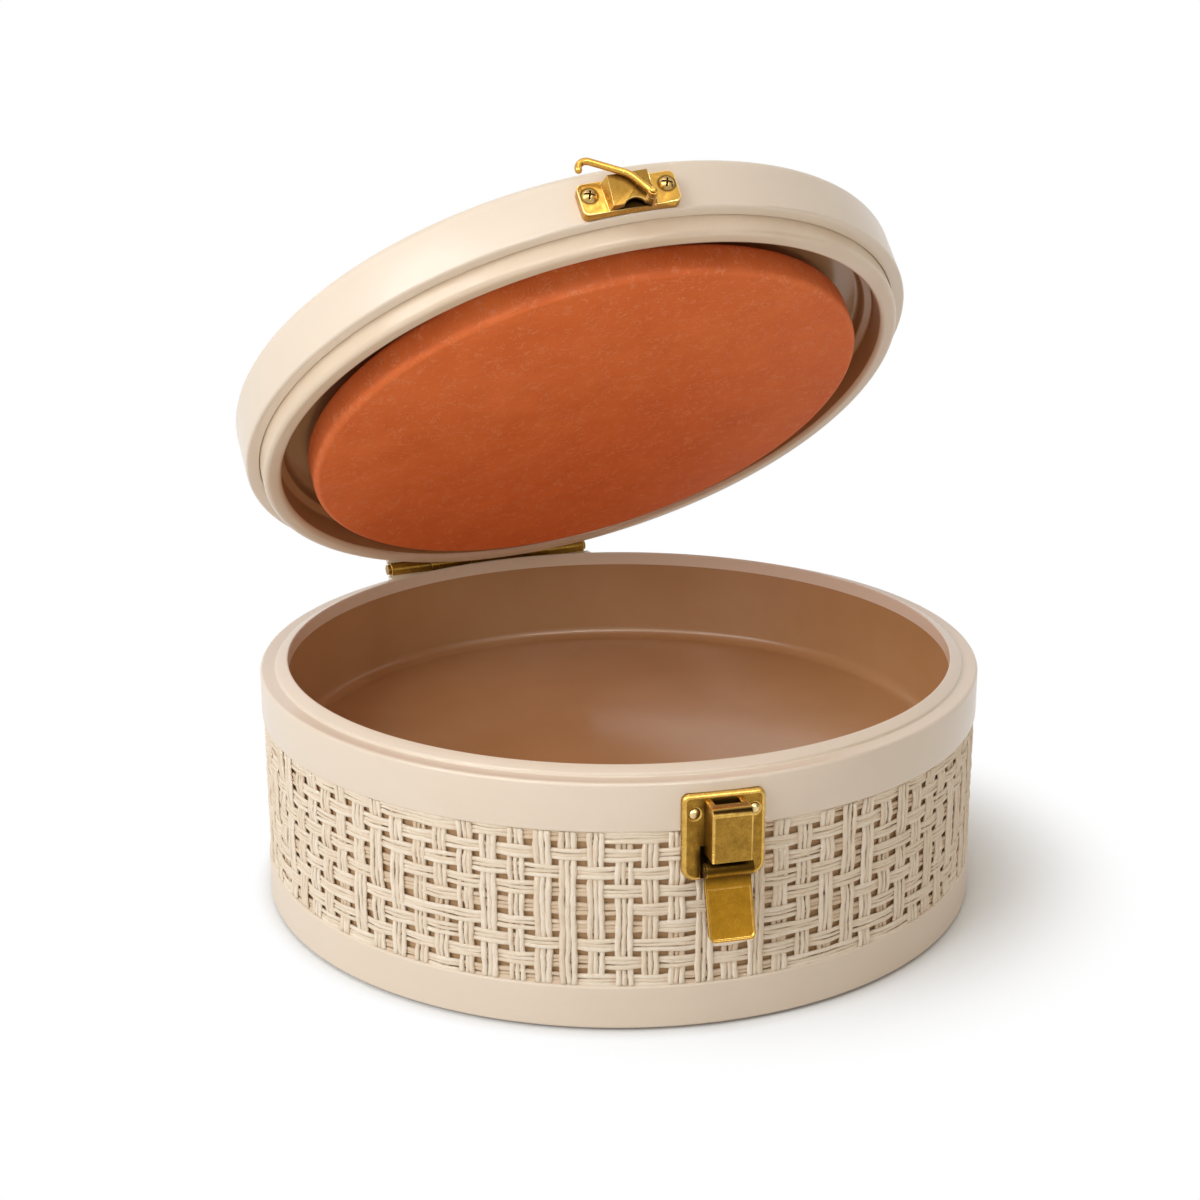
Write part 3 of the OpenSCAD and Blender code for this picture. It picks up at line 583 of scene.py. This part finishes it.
def turned(name, rings):
    """A piece turned about the Z axis: a circle drawn out from ring to ring, then its corners rounded.

    Each ring is (radius, height, rounding). A first or last radius of 0 closes the piece at the axis,
    and otherwise the last ring is joined to the first.
    """
    deselect()
    open_rings = [ring for ring in rings if ring[0] > 0]
    radius, height, _ = open_rings[0]
    bpy.ops.mesh.primitive_circle_add(vertices=TURN_STEPS, radius=radius * MM, location=(0, 0, height * MM))
    obj = settle(bpy.context.object, name)
    bpy.ops.object.mode_set(mode="EDIT")
    bpy.ops.mesh.select_all(action="SELECT")
    for (r0, z0, _), (r1, z1, _) in zip(open_rings, open_rings[1:]):
        bpy.ops.mesh.extrude_edges_move(TRANSFORM_OT_translate={"value": (0, 0, (z1 - z0) * MM)})
        bpy.ops.transform.resize(value=(r1 / r0, r1 / r0, 1), center_override=(0, 0, z1 * MM))
    snap_rings(obj, open_rings)
    for end, ring in ((rings[0], open_rings[0]), (rings[-1], open_rings[-1])):
        if end[0] == 0:
            close_ring(obj, ring[0], ring[1], end[1] - ring[1])
    if rings[0][0] > 0 and rings[-1][0] > 0:
        pick_ring(obj, rings[0][0], rings[0][1])
        pick_ring(obj, rings[-1][0], rings[-1][1], more=True)
        bpy.ops.mesh.bridge_edge_loops()
    bpy.ops.mesh.select_all(action="SELECT")
    bpy.ops.mesh.normals_make_consistent(inside=False)
    for r, z, rounding in open_rings:
        if rounding:
            pick_ring(obj, r, z)
            bpy.ops.mesh.bevel(offset=rounding * MM, segments=6, profile=0.5, affect="EDGES",
                               offset_type="OFFSET", clamp_overlap=False)
    bpy.ops.object.mode_set(mode="OBJECT")
    smooth(obj)
    return obj


def box(name, low, high):
    """A block between two corners."""
    deselect()
    middle = [(a + b) / 2 * MM for a, b in zip(low, high)]
    bpy.ops.mesh.primitive_cube_add(size=1, location=middle)
    bpy.context.object.scale = [(b - a) * MM for a, b in zip(low, high)]
    return settle(bpy.context.object, name)


def rod(name, radius, low, high):
    """An upright cylinder on the Z axis."""
    deselect()
    bpy.ops.mesh.primitive_cylinder_add(vertices=TURN_STEPS, radius=radius * MM, depth=(high - low) * MM,
                                        location=(0, 0, (low + high) / 2 * MM))
    return settle(bpy.context.object, name)


def carve(obj, tool, operation):
    """Cuts, joins or keeps the overlap of a piece with a tool, which is used up."""
    only(obj)
    mod = obj.modifiers.new("carve", "BOOLEAN")
    mod.operation = operation
    mod.solver = "EXACT"
    mod.object = tool
    bpy.ops.object.modifier_apply(modifier=mod.name)
    bpy.data.objects.remove(tool)


def move(obj, matrix):
    """Moves a piece's mesh, and leaves the piece itself at the origin."""
    obj.matrix_world = matrix
    only(obj)
    bpy.ops.object.transform_apply(location=True, rotation=True, scale=True)


def flat_at_latch(name, width, back, low, high):
    """A block that cuts a flat seat into a round wall, in front of back, at the latch."""
    flat = box(name, (-width / 2 - SLIP, -BODY_R - 9, low), (width / 2 + SLIP, -back, high))
    move(flat, Matrix.Rotation(-LATCH_TURN, 4, "Z"))
    return flat


def hinge_pad(wall_r, low, high):
    """A block behind the wall for the flat hinge leaf."""
    pad = box("pad", (-PAD_HALF, PAD_DEEP, low), (PAD_HALF, HINGE_FLAT, high))
    carve(pad, rod("inside", wall_r, low - 1, high + 1), "DIFFERENCE")
    return pad


def give_materials(obj, materials):
    obj.data.materials.clear()
    for material in materials:
        obj.data.materials.append(material)


def finish_piece(obj, materials, body, slot, *replaced):
    """Gives a piece its materials, the body it rides on and the CAD nodes it stands for."""
    give_materials(obj, materials)
    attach(obj, body)
    if replaced:
        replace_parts(obj, *replaced)


# Body pieces

def outer_shell():
    obj = turned("shell", [
        (SHELL_IN, FOOT_GAP, 0), (BODY_R - FOOT_CHAMFER, FOOT_GAP, 0.2),
        (BODY_R, FOOT_GAP + FOOT_CHAMFER, 0.4), (BODY_R, LOWER_BAND_TOP, LOWER_BAND_ROUND),
        (SHELL_R, LOWER_BAND_TOP, 0), (SHELL_R, SEAT_Z, 0), (SHELL_IN, SEAT_Z, 0)])
    finish_piece(obj, [shell_cream], "base", "cream", "outer_shell")


def rim_ring():
    obj = turned("rim", [
        (SHELL_R + SLIP, SEAT_Z, 0), (SHELL_R + SLIP, UPPER_BAND_FOOT, 0),
        (BODY_R, UPPER_BAND_FOOT, UPPER_BAND_ROUND), (BODY_R, SHOULDER_Z, UPPER_BAND_ROUND),
        (LIP_OUT, SHOULDER_Z, LIP_ROUND), (LIP_OUT, LIP_EDGE_Z, LIP_ROUND), (LIP_IN, LIP_TOP, LIP_TOP_ROUND),
        (LIP_IN, LINER_TOP, 0), (LINER_R + SLIP, LINER_TOP, 0), (LINER_R + SLIP, SEAT_Z, 0)])
    carve(obj, hinge_pad(BODY_R - 1.0, SEAT_Z, SHOULDER_Z - 0.01), "UNION")
    behind = box("back_flat", (-PAD_HALF, HINGE_FLAT, SEAT_Z), (PAD_HALF, BODY_R + 9, LIP_TOP + 9))
    carve(obj, behind, "DIFFERENCE")
    flat = flat_at_latch("front_flat", PLATE_W, PLATE_BACK, UPPER_BAND_FOOT - 1, PLATE_TOP + SLIP)
    carve(obj, flat, "DIFFERENCE")
    smooth(obj)
    finish_piece(obj, [cream], "base", "cream", "rim_ring")


def inner_liner():
    under = FLOOR_Z - LINER_WALL
    obj = turned("liner", [
        (0, under, 0), (MID_R, under, 0), (LINER_R, under, FLOOR_ROUND),
        (LINER_R, LINER_TOP, 0), (LIP_IN, LINER_TOP, 0), (LIP_IN, FLOOR_Z, FLOOR_ROUND - LINER_WALL),
        (MID_R, FLOOR_Z, 0), (0, FLOOR_Z, 0)])
    finish_piece(obj, [tan], "base", "tan", "inner_liner")


def lid_shell():
    under = LID_TOP - LID_SKIN
    ball = (CROWN_R ** 2 + CROWN_H ** 2) / (2 * CROWN_H)
    peak = LID_TOP + CROWN_H
    crown = [(CROWN_R * k, peak - ball + math.sqrt(ball ** 2 - (CROWN_R * k) ** 2), 0) for k in CROWN_RINGS]
    obj = turned("lid", [
        (0, under, 0), (MID_R, under, 0), (LID_IN, under, 0), (LID_IN, LID_Z, 0.3),
        (LID_R, LID_Z, LID_FOOT_ROUND), (LID_R, LID_TOP, LID_ROUND), *crown, (0, peak, 0)])
    carve(obj, hinge_pad(LID_R - 1.0, LID_Z, LID_Z + LID_PAD_H), "UNION")
    flat = flat_at_latch("catch_flat", CATCH_W, CATCH_BACK, CATCH_Z - SLIP, CATCH_Z + CATCH_H + SLIP)
    carve(obj, flat, "DIFFERENCE")
    smooth(obj)
    move(obj, lid_open())
    finish_piece(obj, [cream], "lid", "cream", "lid_shell")


def lid_liner():
    """The lid's lining. Its spigot ring is cream, and the hollow inside the ring is tan."""
    back = CEILING_Z + CEILING_T
    hollow_r = SPIGOT_IN - STEP_W
    obj = turned("lid_lining", [
        (SPIGOT_R, back, 0), (SPIGOT_R, SPIGOT_Z, SPIGOT_ROUND), (SPIGOT_IN, SPIGOT_Z, SPIGOT_ROUND),
        (SPIGOT_IN, STEP_Z, STEP_ROUND), (hollow_r, STEP_Z + STEP_FALL, STEP_ROUND),
        (hollow_r, CEILING_Z, SPIGOT_ROUND), (STUD_HOLE_R, CEILING_Z, 0), (STUD_HOLE_R, back, 0)])
    finish_piece(obj, [tan, spigot_cream], "lid", "tan", "lid_liner")
    for p in obj.data.polygons:
        on_ring = math.hypot(p.center.x, p.center.y) > (SPIGOT_IN + ON_FACE) * MM
        p.material_index = int(on_ring)
    move(obj, lid_open())


def heat_disc():
    back = DISC_Z + DISC_T
    obj = turned("heat_disc", [
        (0, DISC_Z, 0), (MID_R, DISC_Z, 0), (DISC_R, DISC_Z, DISC_ROUND), (DISC_R, back, DISC_BACK_ROUND),
        (MID_R, back, 0), (0, back, 0)])
    move(obj, lid_open())
    finish_piece(obj, [clay], "lid", "terracotta", "terracotta_disc")


# Weave

def strands(name, routes, material):
    """Flat strands along routes.

    A route is its centre line, its width and thickness directions, its half width and half thickness,
    its tone, its depth and whether it closes on itself.
    """
    points, faces, uvs, tones, depths = [], [], [], [], []
    turn = 2 * np.pi * np.arange(STRAND_SIDES) / STRAND_SIDES
    across, up = np.cos(turn), np.sin(turn)
    start = 0
    for line, wide, thick, half_w, half_t, tone, depth, closed in routes:
        count = len(line)
        ring = (line[:, None, :] + wide[:, None, :] * (across[None, :, None] * half_w[:, None, None])
                + thick[:, None, :] * (up[None, :, None] * half_t))
        points.append(ring.reshape(-1, 3))
        tones.append(np.full(count * STRAND_SIDES, tone))
        depths.append(np.repeat(depth, STRAND_SIDES))

        i = np.arange(count if closed else count - 1)[:, None]
        j = np.arange(STRAND_SIDES)[None, :]
        here, there = i * STRAND_SIDES, (i + 1) % count * STRAND_SIDES
        k = (j + 1) % STRAND_SIDES
        quads = np.stack([here + j, here + k, there + k, there + j], -1).reshape(-1, 4)
        faces += (quads + start).tolist()

        run = np.concatenate([[0], np.cumsum(np.linalg.norm(np.diff(line, axis=0), axis=1))])
        v0, v1 = run[i] + 0 * j, run[i] + (run[1] - run[0]) + 0 * j
        shift = tone * TONE_SHIFT
        u0, u1 = shift + (j + 0 * i) / STRAND_SIDES, shift + (j + 1 + 0 * i) / STRAND_SIDES
        corners = [np.stack(uv, -1) for uv in ((u0, v0), (u1, v0), (u1, v1), (u0, v1))]
        uvs.append(np.stack(corners, -2).reshape(-1, 2))

        if not closed:
            end = start + np.arange(STRAND_SIDES)
            faces += [end[::-1].tolist(), (end + (count - 1) * STRAND_SIDES).tolist()]
            uvs.append(np.full((2 * STRAND_SIDES, 2), shift))
        start += count * STRAND_SIDES

    mesh = bpy.data.meshes.new(name)
    mesh.from_pydata((np.concatenate(points) * MM).tolist(), [], faces)
    layer = mesh.uv_layers.new(name="along")
    layer.data.foreach_set("uv", np.concatenate(uvs).astype(np.float32).ravel())
    for key, values in (("tone", tones), ("depth", depths)):
        attribute = mesh.attributes.new(key, "FLOAT", "POINT")
        attribute.data.foreach_set("value", np.concatenate(values).astype(np.float32))
    obj = bpy.data.objects.new(name, mesh)
    bpy.context.scene.collection.objects.link(obj)
    smooth(obj, 180)
    finish_piece(obj, [material], "base", "raffia")
    return obj


def behind_plate(points):
    """Presses what lies behind the latch plate back to the plate's own back."""
    c, s = math.cos(LATCH_TURN), math.sin(LATCH_TURN)
    x = points[:, 0] * c - points[:, 1] * s
    y = points[:, 0] * s + points[:, 1] * c
    under = (np.abs(x) < PLATE_W / 2 + 0.6) & (points[:, 2] > PLATE_FOOT - 0.8) & (y < 0)
    y = np.where(under, np.maximum(y, -(PLATE_BACK - 0.75)), y)
    return np.stack([x * c + y * s, -x * s + y * c, points[:, 2]], -1)


def around_axis(radius, angle, z):
    """A line of points round the axis, and the direction that points out of the wall at each."""
    line = np.stack([radius * np.cos(angle), radius * np.sin(angle), z], -1)
    out = np.stack([np.cos(angle), np.sin(angle), 0 * angle], -1)
    return behind_plate(line), out


def upright_routes(rng, lift, row_z, column_angle):
    """The strands of the columns: each wanders a little and waves in and out of the rows."""
    routes = []
    z = np.linspace(LOWER_BAND_TOP + 0.1, UPPER_BAND_FOOT - 0.1, (ROWS + 1) * PER_CROSSING)
    for c in range(COLUMNS):
        wave = np.sin(np.interp(z, row_z, lift[c]) * np.pi / 2)
        column_shift = rng.normal(0, 0.22)
        for place, width, sunk in UPRIGHT_STRANDS:
            wander = (column_shift + place + rng.normal(0, 0.1)
                      + 0.18 * np.sin(z * rng.uniform(0.12, 0.4) + rng.uniform(0, 6))
                      + 0.08 * np.sin(z * rng.uniform(0.8, 1.4) + rng.uniform(0, 6)))
            radius = WEAVE_MEAN + wave * WEAVE_LIFT - sunk + 0.07 * np.sin(z * 0.5 + rng.uniform(0, 6))
            angle = column_angle[c] + wander / WEAVE_MEAN
            line, thick = around_axis(radius, angle, z)
            wide = np.stack([np.sin(angle), -np.cos(angle), 0 * z], -1)
            half = width * rng.uniform(0.88, 1.1) * (1 + 0.1 * np.sin(z * 0.6 + rng.uniform(0, 6)))
            routes.append((line, wide, thick, half, UPRIGHT_THICK, rng.random(), 0.5 + 0.5 * wave, False))
    return routes


def level_routes(rng, lift, row_z, column_angle):
    """The strands of the rows, each a closed ring that is out where the uprights are in."""
    routes = []
    angle = 2 * np.pi * np.arange(COLUMNS * PER_CROSSING) / (COLUMNS * PER_CROSSING)
    for r in range(ROWS):
        around = np.append(lift[:, r], lift[0, r])
        wave = -np.sin(np.interp(angle, np.append(column_angle, 2 * np.pi), around) * np.pi / 2)
        for place, width, sunk in LEVEL_STRANDS:
            phase = rng.uniform(0, 6, 5)
            z = (row_z[r] + place + rng.normal(0, 0.06) + 0.15 * np.sin(angle * 9 + phase[0])
                 + 0.12 * np.sin(angle * 31 + phase[1]) + 0.1 * np.sin(angle * 57 + phase[3]))
            radius = WEAVE_MEAN + wave * WEAVE_LIFT - sunk + 0.05 * np.sin(angle * 43 + phase[4])
            line, thick = around_axis(radius, angle, z)
            wide = np.stack([0 * z, 0 * z, 1 + 0 * z], -1)
            half = width * (1 + 0.12 * np.sin(angle * 27 + phase[2]))
            routes.append((line, wide, thick, half, LEVEL_THICK, rng.random(), 0.5 + 0.5 * wave, True))
    return routes


def weave():
    """Over and under in turn, with some crossings changed, as in weaving by hand."""
    rng = np.random.default_rng(WEAVE_SEED)
    row_z = np.linspace(FIRST_ROW_Z, LAST_ROW_Z, ROWS)
    column_angle = 2 * np.pi * np.arange(COLUMNS) / COLUMNS
    upright_over = (np.add.outer(np.arange(COLUMNS), np.arange(ROWS)) % 2 == 0)
    chance = rng.random(upright_over.shape)
    upright_over = np.where(upright_over, chance > MISSED_OVER, chance < EXTRA_OVER)
    lift = np.where(upright_over, 1.0, -1.0) * rng.uniform(0.55, 1.0, upright_over.shape)
    uprights = upright_routes(rng, lift, row_z, column_angle)
    levels = level_routes(rng, lift, row_z, column_angle)
    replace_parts(strands("weave_uprights", uprights, straw), "woven_band")
    strands("weave_levels", levels, straw)


# Hardware: how wide an edge is eased, from its two ends

def plate_easing(a, b):
    """The plate's outline has a broad border, its notch and lugs only a fine edge."""
    on_front = all(-p.y > PLATE_FRONT - ON_FACE for p in (a, b))
    beyond = [max(abs(p.x) - NOTCH_HALF, p.z - HOUSING_TOP) for p in (a, b)]
    outline = on_front and min(beyond) > -ON_FACE and max(beyond) > 0.3
    return PLATE_BORDER if outline else PLATE_EDGE


def housing_easing(a, b):
    """The housing's side outlines are rounded well, the rims of its front and top less, the rest finely."""
    if all(abs(p.x) > HOUSING_HALF - ON_FACE for p in (a, b)):
        free = max(-a.y, -b.y) > PLATE_FRONT + 0.3 and max(a.z, b.z) > HOUSING_FOOT + 0.3
        return HOUSING_SIDE if free else HOUSING_SEAT
    on_front = all(-p.y > HOUSING_FRONT - ON_FACE for p in (a, b))
    on_top = min(a.z, b.z) > HOUSING_TOP - ON_FACE
    return HOUSING_RIM if on_front or on_top else HOUSING_EDGE


def catch_easing(a, b):
    """The outline of the catch plate's front is rounded most, its other edges less, its foot least."""
    on_front = all(abs(-p.y - CATCH_FRONT) < ON_FACE for p in (a, b))
    beyond = [max(abs(p.x) - CATCH_W / 2 + CATCH_CORNER, p.z - CATCH_Z - CATCH_H + ON_FACE) for p in (a, b)]
    if on_front and min(beyond) > 0:
        return CATCH_OUTLINE
    return CATCH_EDGE if min(a.z, b.z) > CATCH_Z + 0.3 else CATCH_FOOT


# Hardware: how much painted shade and painted dark reflection the brass takes, from a point and the normal
# there

def ramp(value, low, high):
    """A value brought from low..high to 0..1 and held there."""
    return min(1.0, max(0.0, (value - low) / (high - low)))


def plate_painted_shade(p, n):
    """Painted shade: dark in the notch."""
    return float(abs(p.x) < NOTCH_HALF + 0.1 and p.z < HOUSING_TOP and -p.y < PLATE_FRONT - 0.3)


def housing_painted_shade(p, n):
    """Painted shade inside and along the plate, and a painted dark reflection on the chamfer along the front
    of the top.
    """
    if abs(p.x) < HOUSING_HALF - 0.4 and p.z < HOUSING_TOP - 0.4 and -p.y < HOUSING_FRONT - 0.4:
        return 1.0
    crevice = 0.9 * ramp(p.y, -PLATE_FRONT - 4.0, -PLATE_FRONT) * ramp(abs(n.x), 0.6, 0.9)
    return max(crevice, 0.92 * ramp(min(n.z, -n.y), 0.3, 0.6))


def lever_painted_shade(p, n):
    """A painted dark reflection on the upper half of the barrel, and painted shade in the crease below it."""
    if math.hypot(p.y - LEVER_Y, p.z - LEVER_Z) < LEVER_R + 0.1:
        return 0.9 * ramp(n.z, -0.4, 0.0)
    return 0.8 * ramp(p.z, LEVER_Z - 6.5, LEVER_Z - 3.0)


def catch_painted_shade(p, n):
    """Painted shade in the hood's hollow, and a painted dark reflection that dulls the hood's front."""
    if abs(p.x) < HOOD_HOLLOW and CATCH_FRONT - 0.2 < -p.y < HOOD_LOW - 1.0:
        return 1.0
    return 0.6 * ramp(-n.y, 0.6, 0.9) * ramp(-p.y, HOOD_LOW - 0.3, HOOD_LOW)


def screw_painted_shade(p, n):
    """Painted shade in the slots of the heads."""
    off_centre = min(math.hypot(p.x - x, p.z - z) for x, _, z in SCREWS)
    return float(off_centre < SCREW_SLOT_R and -p.y < CATCH_FRONT + SCREW_SLOT_Z)


# Hardware

def copy_of(node):
    """A piece of its own with a CAD node's mesh, its flat faces whole again, left in edit mode."""
    deselect()
    obj = nodes[node].copy()
    obj.data = nodes[node].data.copy()
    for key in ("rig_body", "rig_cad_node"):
        del obj[key]
    bpy.context.scene.collection.objects.link(obj)
    obj.parent = None
    obj.name = obj.data.name = node + "_eased"
    only(obj)
    bpy.ops.object.mode_set(mode="EDIT")
    bpy.ops.mesh.select_all(action="SELECT")
    bpy.ops.mesh.remove_doubles(threshold=1e-6)
    bpy.ops.mesh.dissolve_limited(angle_limit=math.radians(0.6))
    return obj


def eased(node, easing, materials, body, segments=3, painted_shade=None, soft=30):
    """A CAD node with its edges eased; the eased edges take the last material.

    easing, and the function that paints shade and dark reflections onto the brass, are functions as above,
    which get points of the latch's frame in millimetres.
    easing may also be one width for all edges.
    """
    obj = copy_of(node)
    to_latch = latch_place(body)
    mesh = bmesh.from_edit_mesh(obj.data)
    weight = mesh.edges.layers.float.new("bevel_weight_edge")
    sharp = [e for e in mesh.edges if e.calc_face_angle(0) > EASED_ANGLE]
    widths = [easing(*(to_latch @ v.co / MM for v in e.verts)) if callable(easing) else easing for e in sharp]
    widest = max(widths)
    for e, width in zip(sharp, widths):
        e[weight] = width / widest
    bmesh.update_edit_mesh(obj.data)
    bpy.ops.object.mode_set(mode="OBJECT")
    give_materials(obj, materials)
    for p in obj.data.polygons:
        p.material_index = 0
    mod = obj.modifiers.new("ease", "BEVEL")
    mod.width = widest * MM
    mod.segments = segments
    mod.limit_method = "WEIGHT"
    mod.use_clamp_overlap = False
    mod.loop_slide = False
    mod.material = len(materials) - 1
    bpy.ops.object.modifier_apply(modifier=mod.name)
    smooth(obj, soft)
    # painted shade and painted dark reflections, kept as a point attribute for the brass
    if painted_shade:
        turn = to_latch.to_3x3()
        dark = [painted_shade(to_latch @ v.co / MM, turn @ v.normal) for v in obj.data.vertices]
        obj.data.attributes.new("painted_shade", "FLOAT", "POINT").data.foreach_set("value", dark)
    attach(obj, body)
    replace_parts(obj, node)


def hardware():
    """Eased brass where it shows; all other nodes keep their CAD mesh and get a finish."""
    eased("latch_plate", plate_easing, (plate_brass, brass_edge_highlight), "base", painted_shade=plate_painted_shade)
    eased("latch_housing", housing_easing, (brass, brass_edge_highlight), "base", 4, housing_painted_shade)
    eased("latch_rivets", 0.1, (rivet_brass_highlight, rivet_brass_highlight), "base")
    eased("latch_lever", 0.22, (tongue_brass, brass_edge_highlight), "lever", painted_shade=lever_painted_shade)
    eased("catch_plate", catch_easing, (catch_gold, gold_edge_highlight), "lid", painted_shade=catch_painted_shade)
    eased("catch_screws", 0.08, (screw_brass, gold_edge_highlight), "lid", painted_shade=screw_painted_shade)
    eased("hook_rivet", 0.08, (gold, gold_edge_highlight), "lid")
    eased("catch_hook", 0.05, (gold, gold_edge_highlight), "hook", soft=70)
    for node, width, body in (("hinge_body_leaf", 0.2, "base"), ("hinge_body_screws", 0.08, "base"),
                              ("hinge_lid_leaf", 0.2, "lid"), ("hinge_lid_screws", 0.08, "lid")):
        eased(node, width, (brass, brass_edge_highlight), body)
    for material, names in (
            (brass, ("hinge_pin", "lever_pin")),
            (steel, ("lever_spring", "base_screws", "disc_spacer", "disc_stud", "disc_washer", "disc_nut")),
            (rubber, ("base_pad",)),
            (cream, ("base_cover",)),
            (wadding, ("wall_insulation", "base_insulation", "lid_insulation"))):
        for name in names:
            give_materials(nodes[name], [material])


# Stage

def studio_floor():
    """A floor that glows white, except where it keeps the part's shadow."""
    deselect()
    bpy.ops.mesh.primitive_plane_add(size=FLOOR_SIZE, location=(0, 0, 0))
    floor = bpy.context.object
    floor.name = "floor"
    f = Finish("floor_white", Roughness=0.9, Specular_IOR_Level=0.0)
    spot = f.place()
    f.set(Base_Color=f.blend(f.ray("Camera"), FLOOR_BOUNCE, f.blend(f.noise(spot, 3.0), *FLOOR_SEEN)))
    beside = f.spread(f.away(spot, SHADOW_PLACE), *SHADOW_FADE, "SMOOTHSTEP")
    under = f.spread(f.away(spot, CONTACT_PLACE), *CONTACT_FADE, "SMOOTHSTEP")
    glow = f.add("ShaderNodeEmission", {}, {"Color": WHITE, "Strength": 1.0})
    mix = f.add("ShaderNodeMixShader", {},
                {0: beside * under * f.seen(), 1: Value(f, f.shader.outputs[0]), 2: glow})
    f.feed(f.tree.nodes["Material Output"].inputs[0], mix)
    floor.data.materials.append(f.material)


def studio_world():
    """White where it is seen, and a warm fill where it lights the part."""
    world = bpy.data.worlds.new("studio")
    bpy.context.scene.world = world
    world.use_nodes = True
    sky = Nodes(world.node_tree)
    sky.tree.nodes.clear()
    fill = sky.add("ShaderNodeBackground", {}, {"Color": FILL_COLOUR, "Strength": FILL_STRENGTH})
    white = sky.add("ShaderNodeBackground", {}, {"Color": WHITE, "Strength": 1.0})
    mix = sky.add("ShaderNodeMixShader", {}, {0: sky.seen(), 1: fill, 2: white})
    sky.feed(sky.tree.nodes.new("ShaderNodeOutputWorld").inputs[0], mix)


def lamp(name, place, aim, size, power, colour, depth=None, spread=180.0):
    """A round lamp, or a strip where a depth is given."""
    data = bpy.data.lights.new(name, "AREA")
    data.shape = "RECTANGLE" if depth else "DISK"
    data.size = size
    if depth:
        data.size_y = depth
    data.spread = math.radians(spread)
    data.energy = power
    data.color = colour
    obj = bpy.data.objects.new(name, data)
    bpy.context.scene.collection.objects.link(obj)
    obj.location = place
    obj.rotation_euler = (Vector(aim) - Vector(place)).to_track_quat("-Z", "Y").to_euler()
    return obj


def dark_card(name, place, aim, wide, high):
    """A dark card that only shows in polished metal."""
    deselect()
    bpy.ops.mesh.primitive_plane_add(size=1, location=place)
    card = bpy.context.object
    card.name = name
    card.scale = (wide, high, 1)
    card.rotation_euler = (Vector(aim) - Vector(place)).to_track_quat("Z", "Y").to_euler()
    paint = Finish(name, Base_Color=CARD_DARK, Roughness=1.0, Specular_IOR_Level=0.0)
    card.data.materials.append(paint.material)
    card.visible_camera = card.visible_diffuse = card.visible_shadow = card.visible_transmission = False


def stage():
    """Floor, world and lights, in metres and watts."""
    studio_floor()
    studio_world()
    lamp("key", place=(-1.97, -0.46, 1.3), aim=(0, 0, 0.1), size=1.5, power=26.2, colour=(0.97, 0.98, 1.0))
    lamp("above", place=(-0.2, -0.05, 1.55), aim=(-0.1, -0.02, 0.1), size=1.7, depth=0.25, power=3.4,
         colour=(1.0, 0.98, 0.95))
    front = lamp("front", place=(-0.45, -1.5, 0.05), aim=(-0.05, 0, 0.2), size=0.2, power=0.05,
                 colour=(1.0, 0.97, 0.93), spread=16.0)
    front.visible_glossy = False
    strip = lamp("strip", place=(-0.45, -1.0, 1.1), aim=(0, -0.1, 0.1), size=1.8, depth=0.32, power=12.0,
                 colour=(1.0, 0.99, 0.97))
    strip.visible_diffuse = False
    dark_card("card_right", place=(1.3, -0.9, 0.5), aim=(0, 0, 0.1), wide=0.7, high=1.2)


def camera():
    """The photograph's view of the part."""
    a, e = VIEW_AZIMUTH, VIEW_ELEVATION
    back = Vector((math.sin(a) * math.cos(e), -math.cos(a) * math.cos(e), math.sin(e)))
    right = Vector((math.cos(a), math.sin(a), 0))
    up = back.cross(right)
    data = bpy.data.cameras.new("view")
    data.sensor_width = SENSOR
    data.lens = SENSOR * FOCAL_PX / FRAME_PX
    data.shift_x = (FRAME_PX / 2 - PRINCIPAL_PX[0]) / FRAME_PX
    data.shift_y = (PRINCIPAL_PX[1] - FRAME_PX / 2) / FRAME_PX
    data.clip_start, data.clip_end = 0.01, 20.0
    obj = bpy.data.objects.new("view", data)
    bpy.context.scene.collection.objects.link(obj)
    place = (right * VIEW_OFFSET[0] + up * VIEW_OFFSET[1] + back * VIEW_DISTANCE) * MM
    obj.matrix_world = Matrix.Translation(place) @ Matrix((right, up, back)).transposed().to_4x4()
    bpy.context.scene.camera = obj


outer_shell()
rim_ring()
inner_liner()
lid_shell()
lid_liner()
heat_disc()
weave()
hardware()
stage()
camera()

bpy.context.scene.view_settings.view_transform = "Standard"
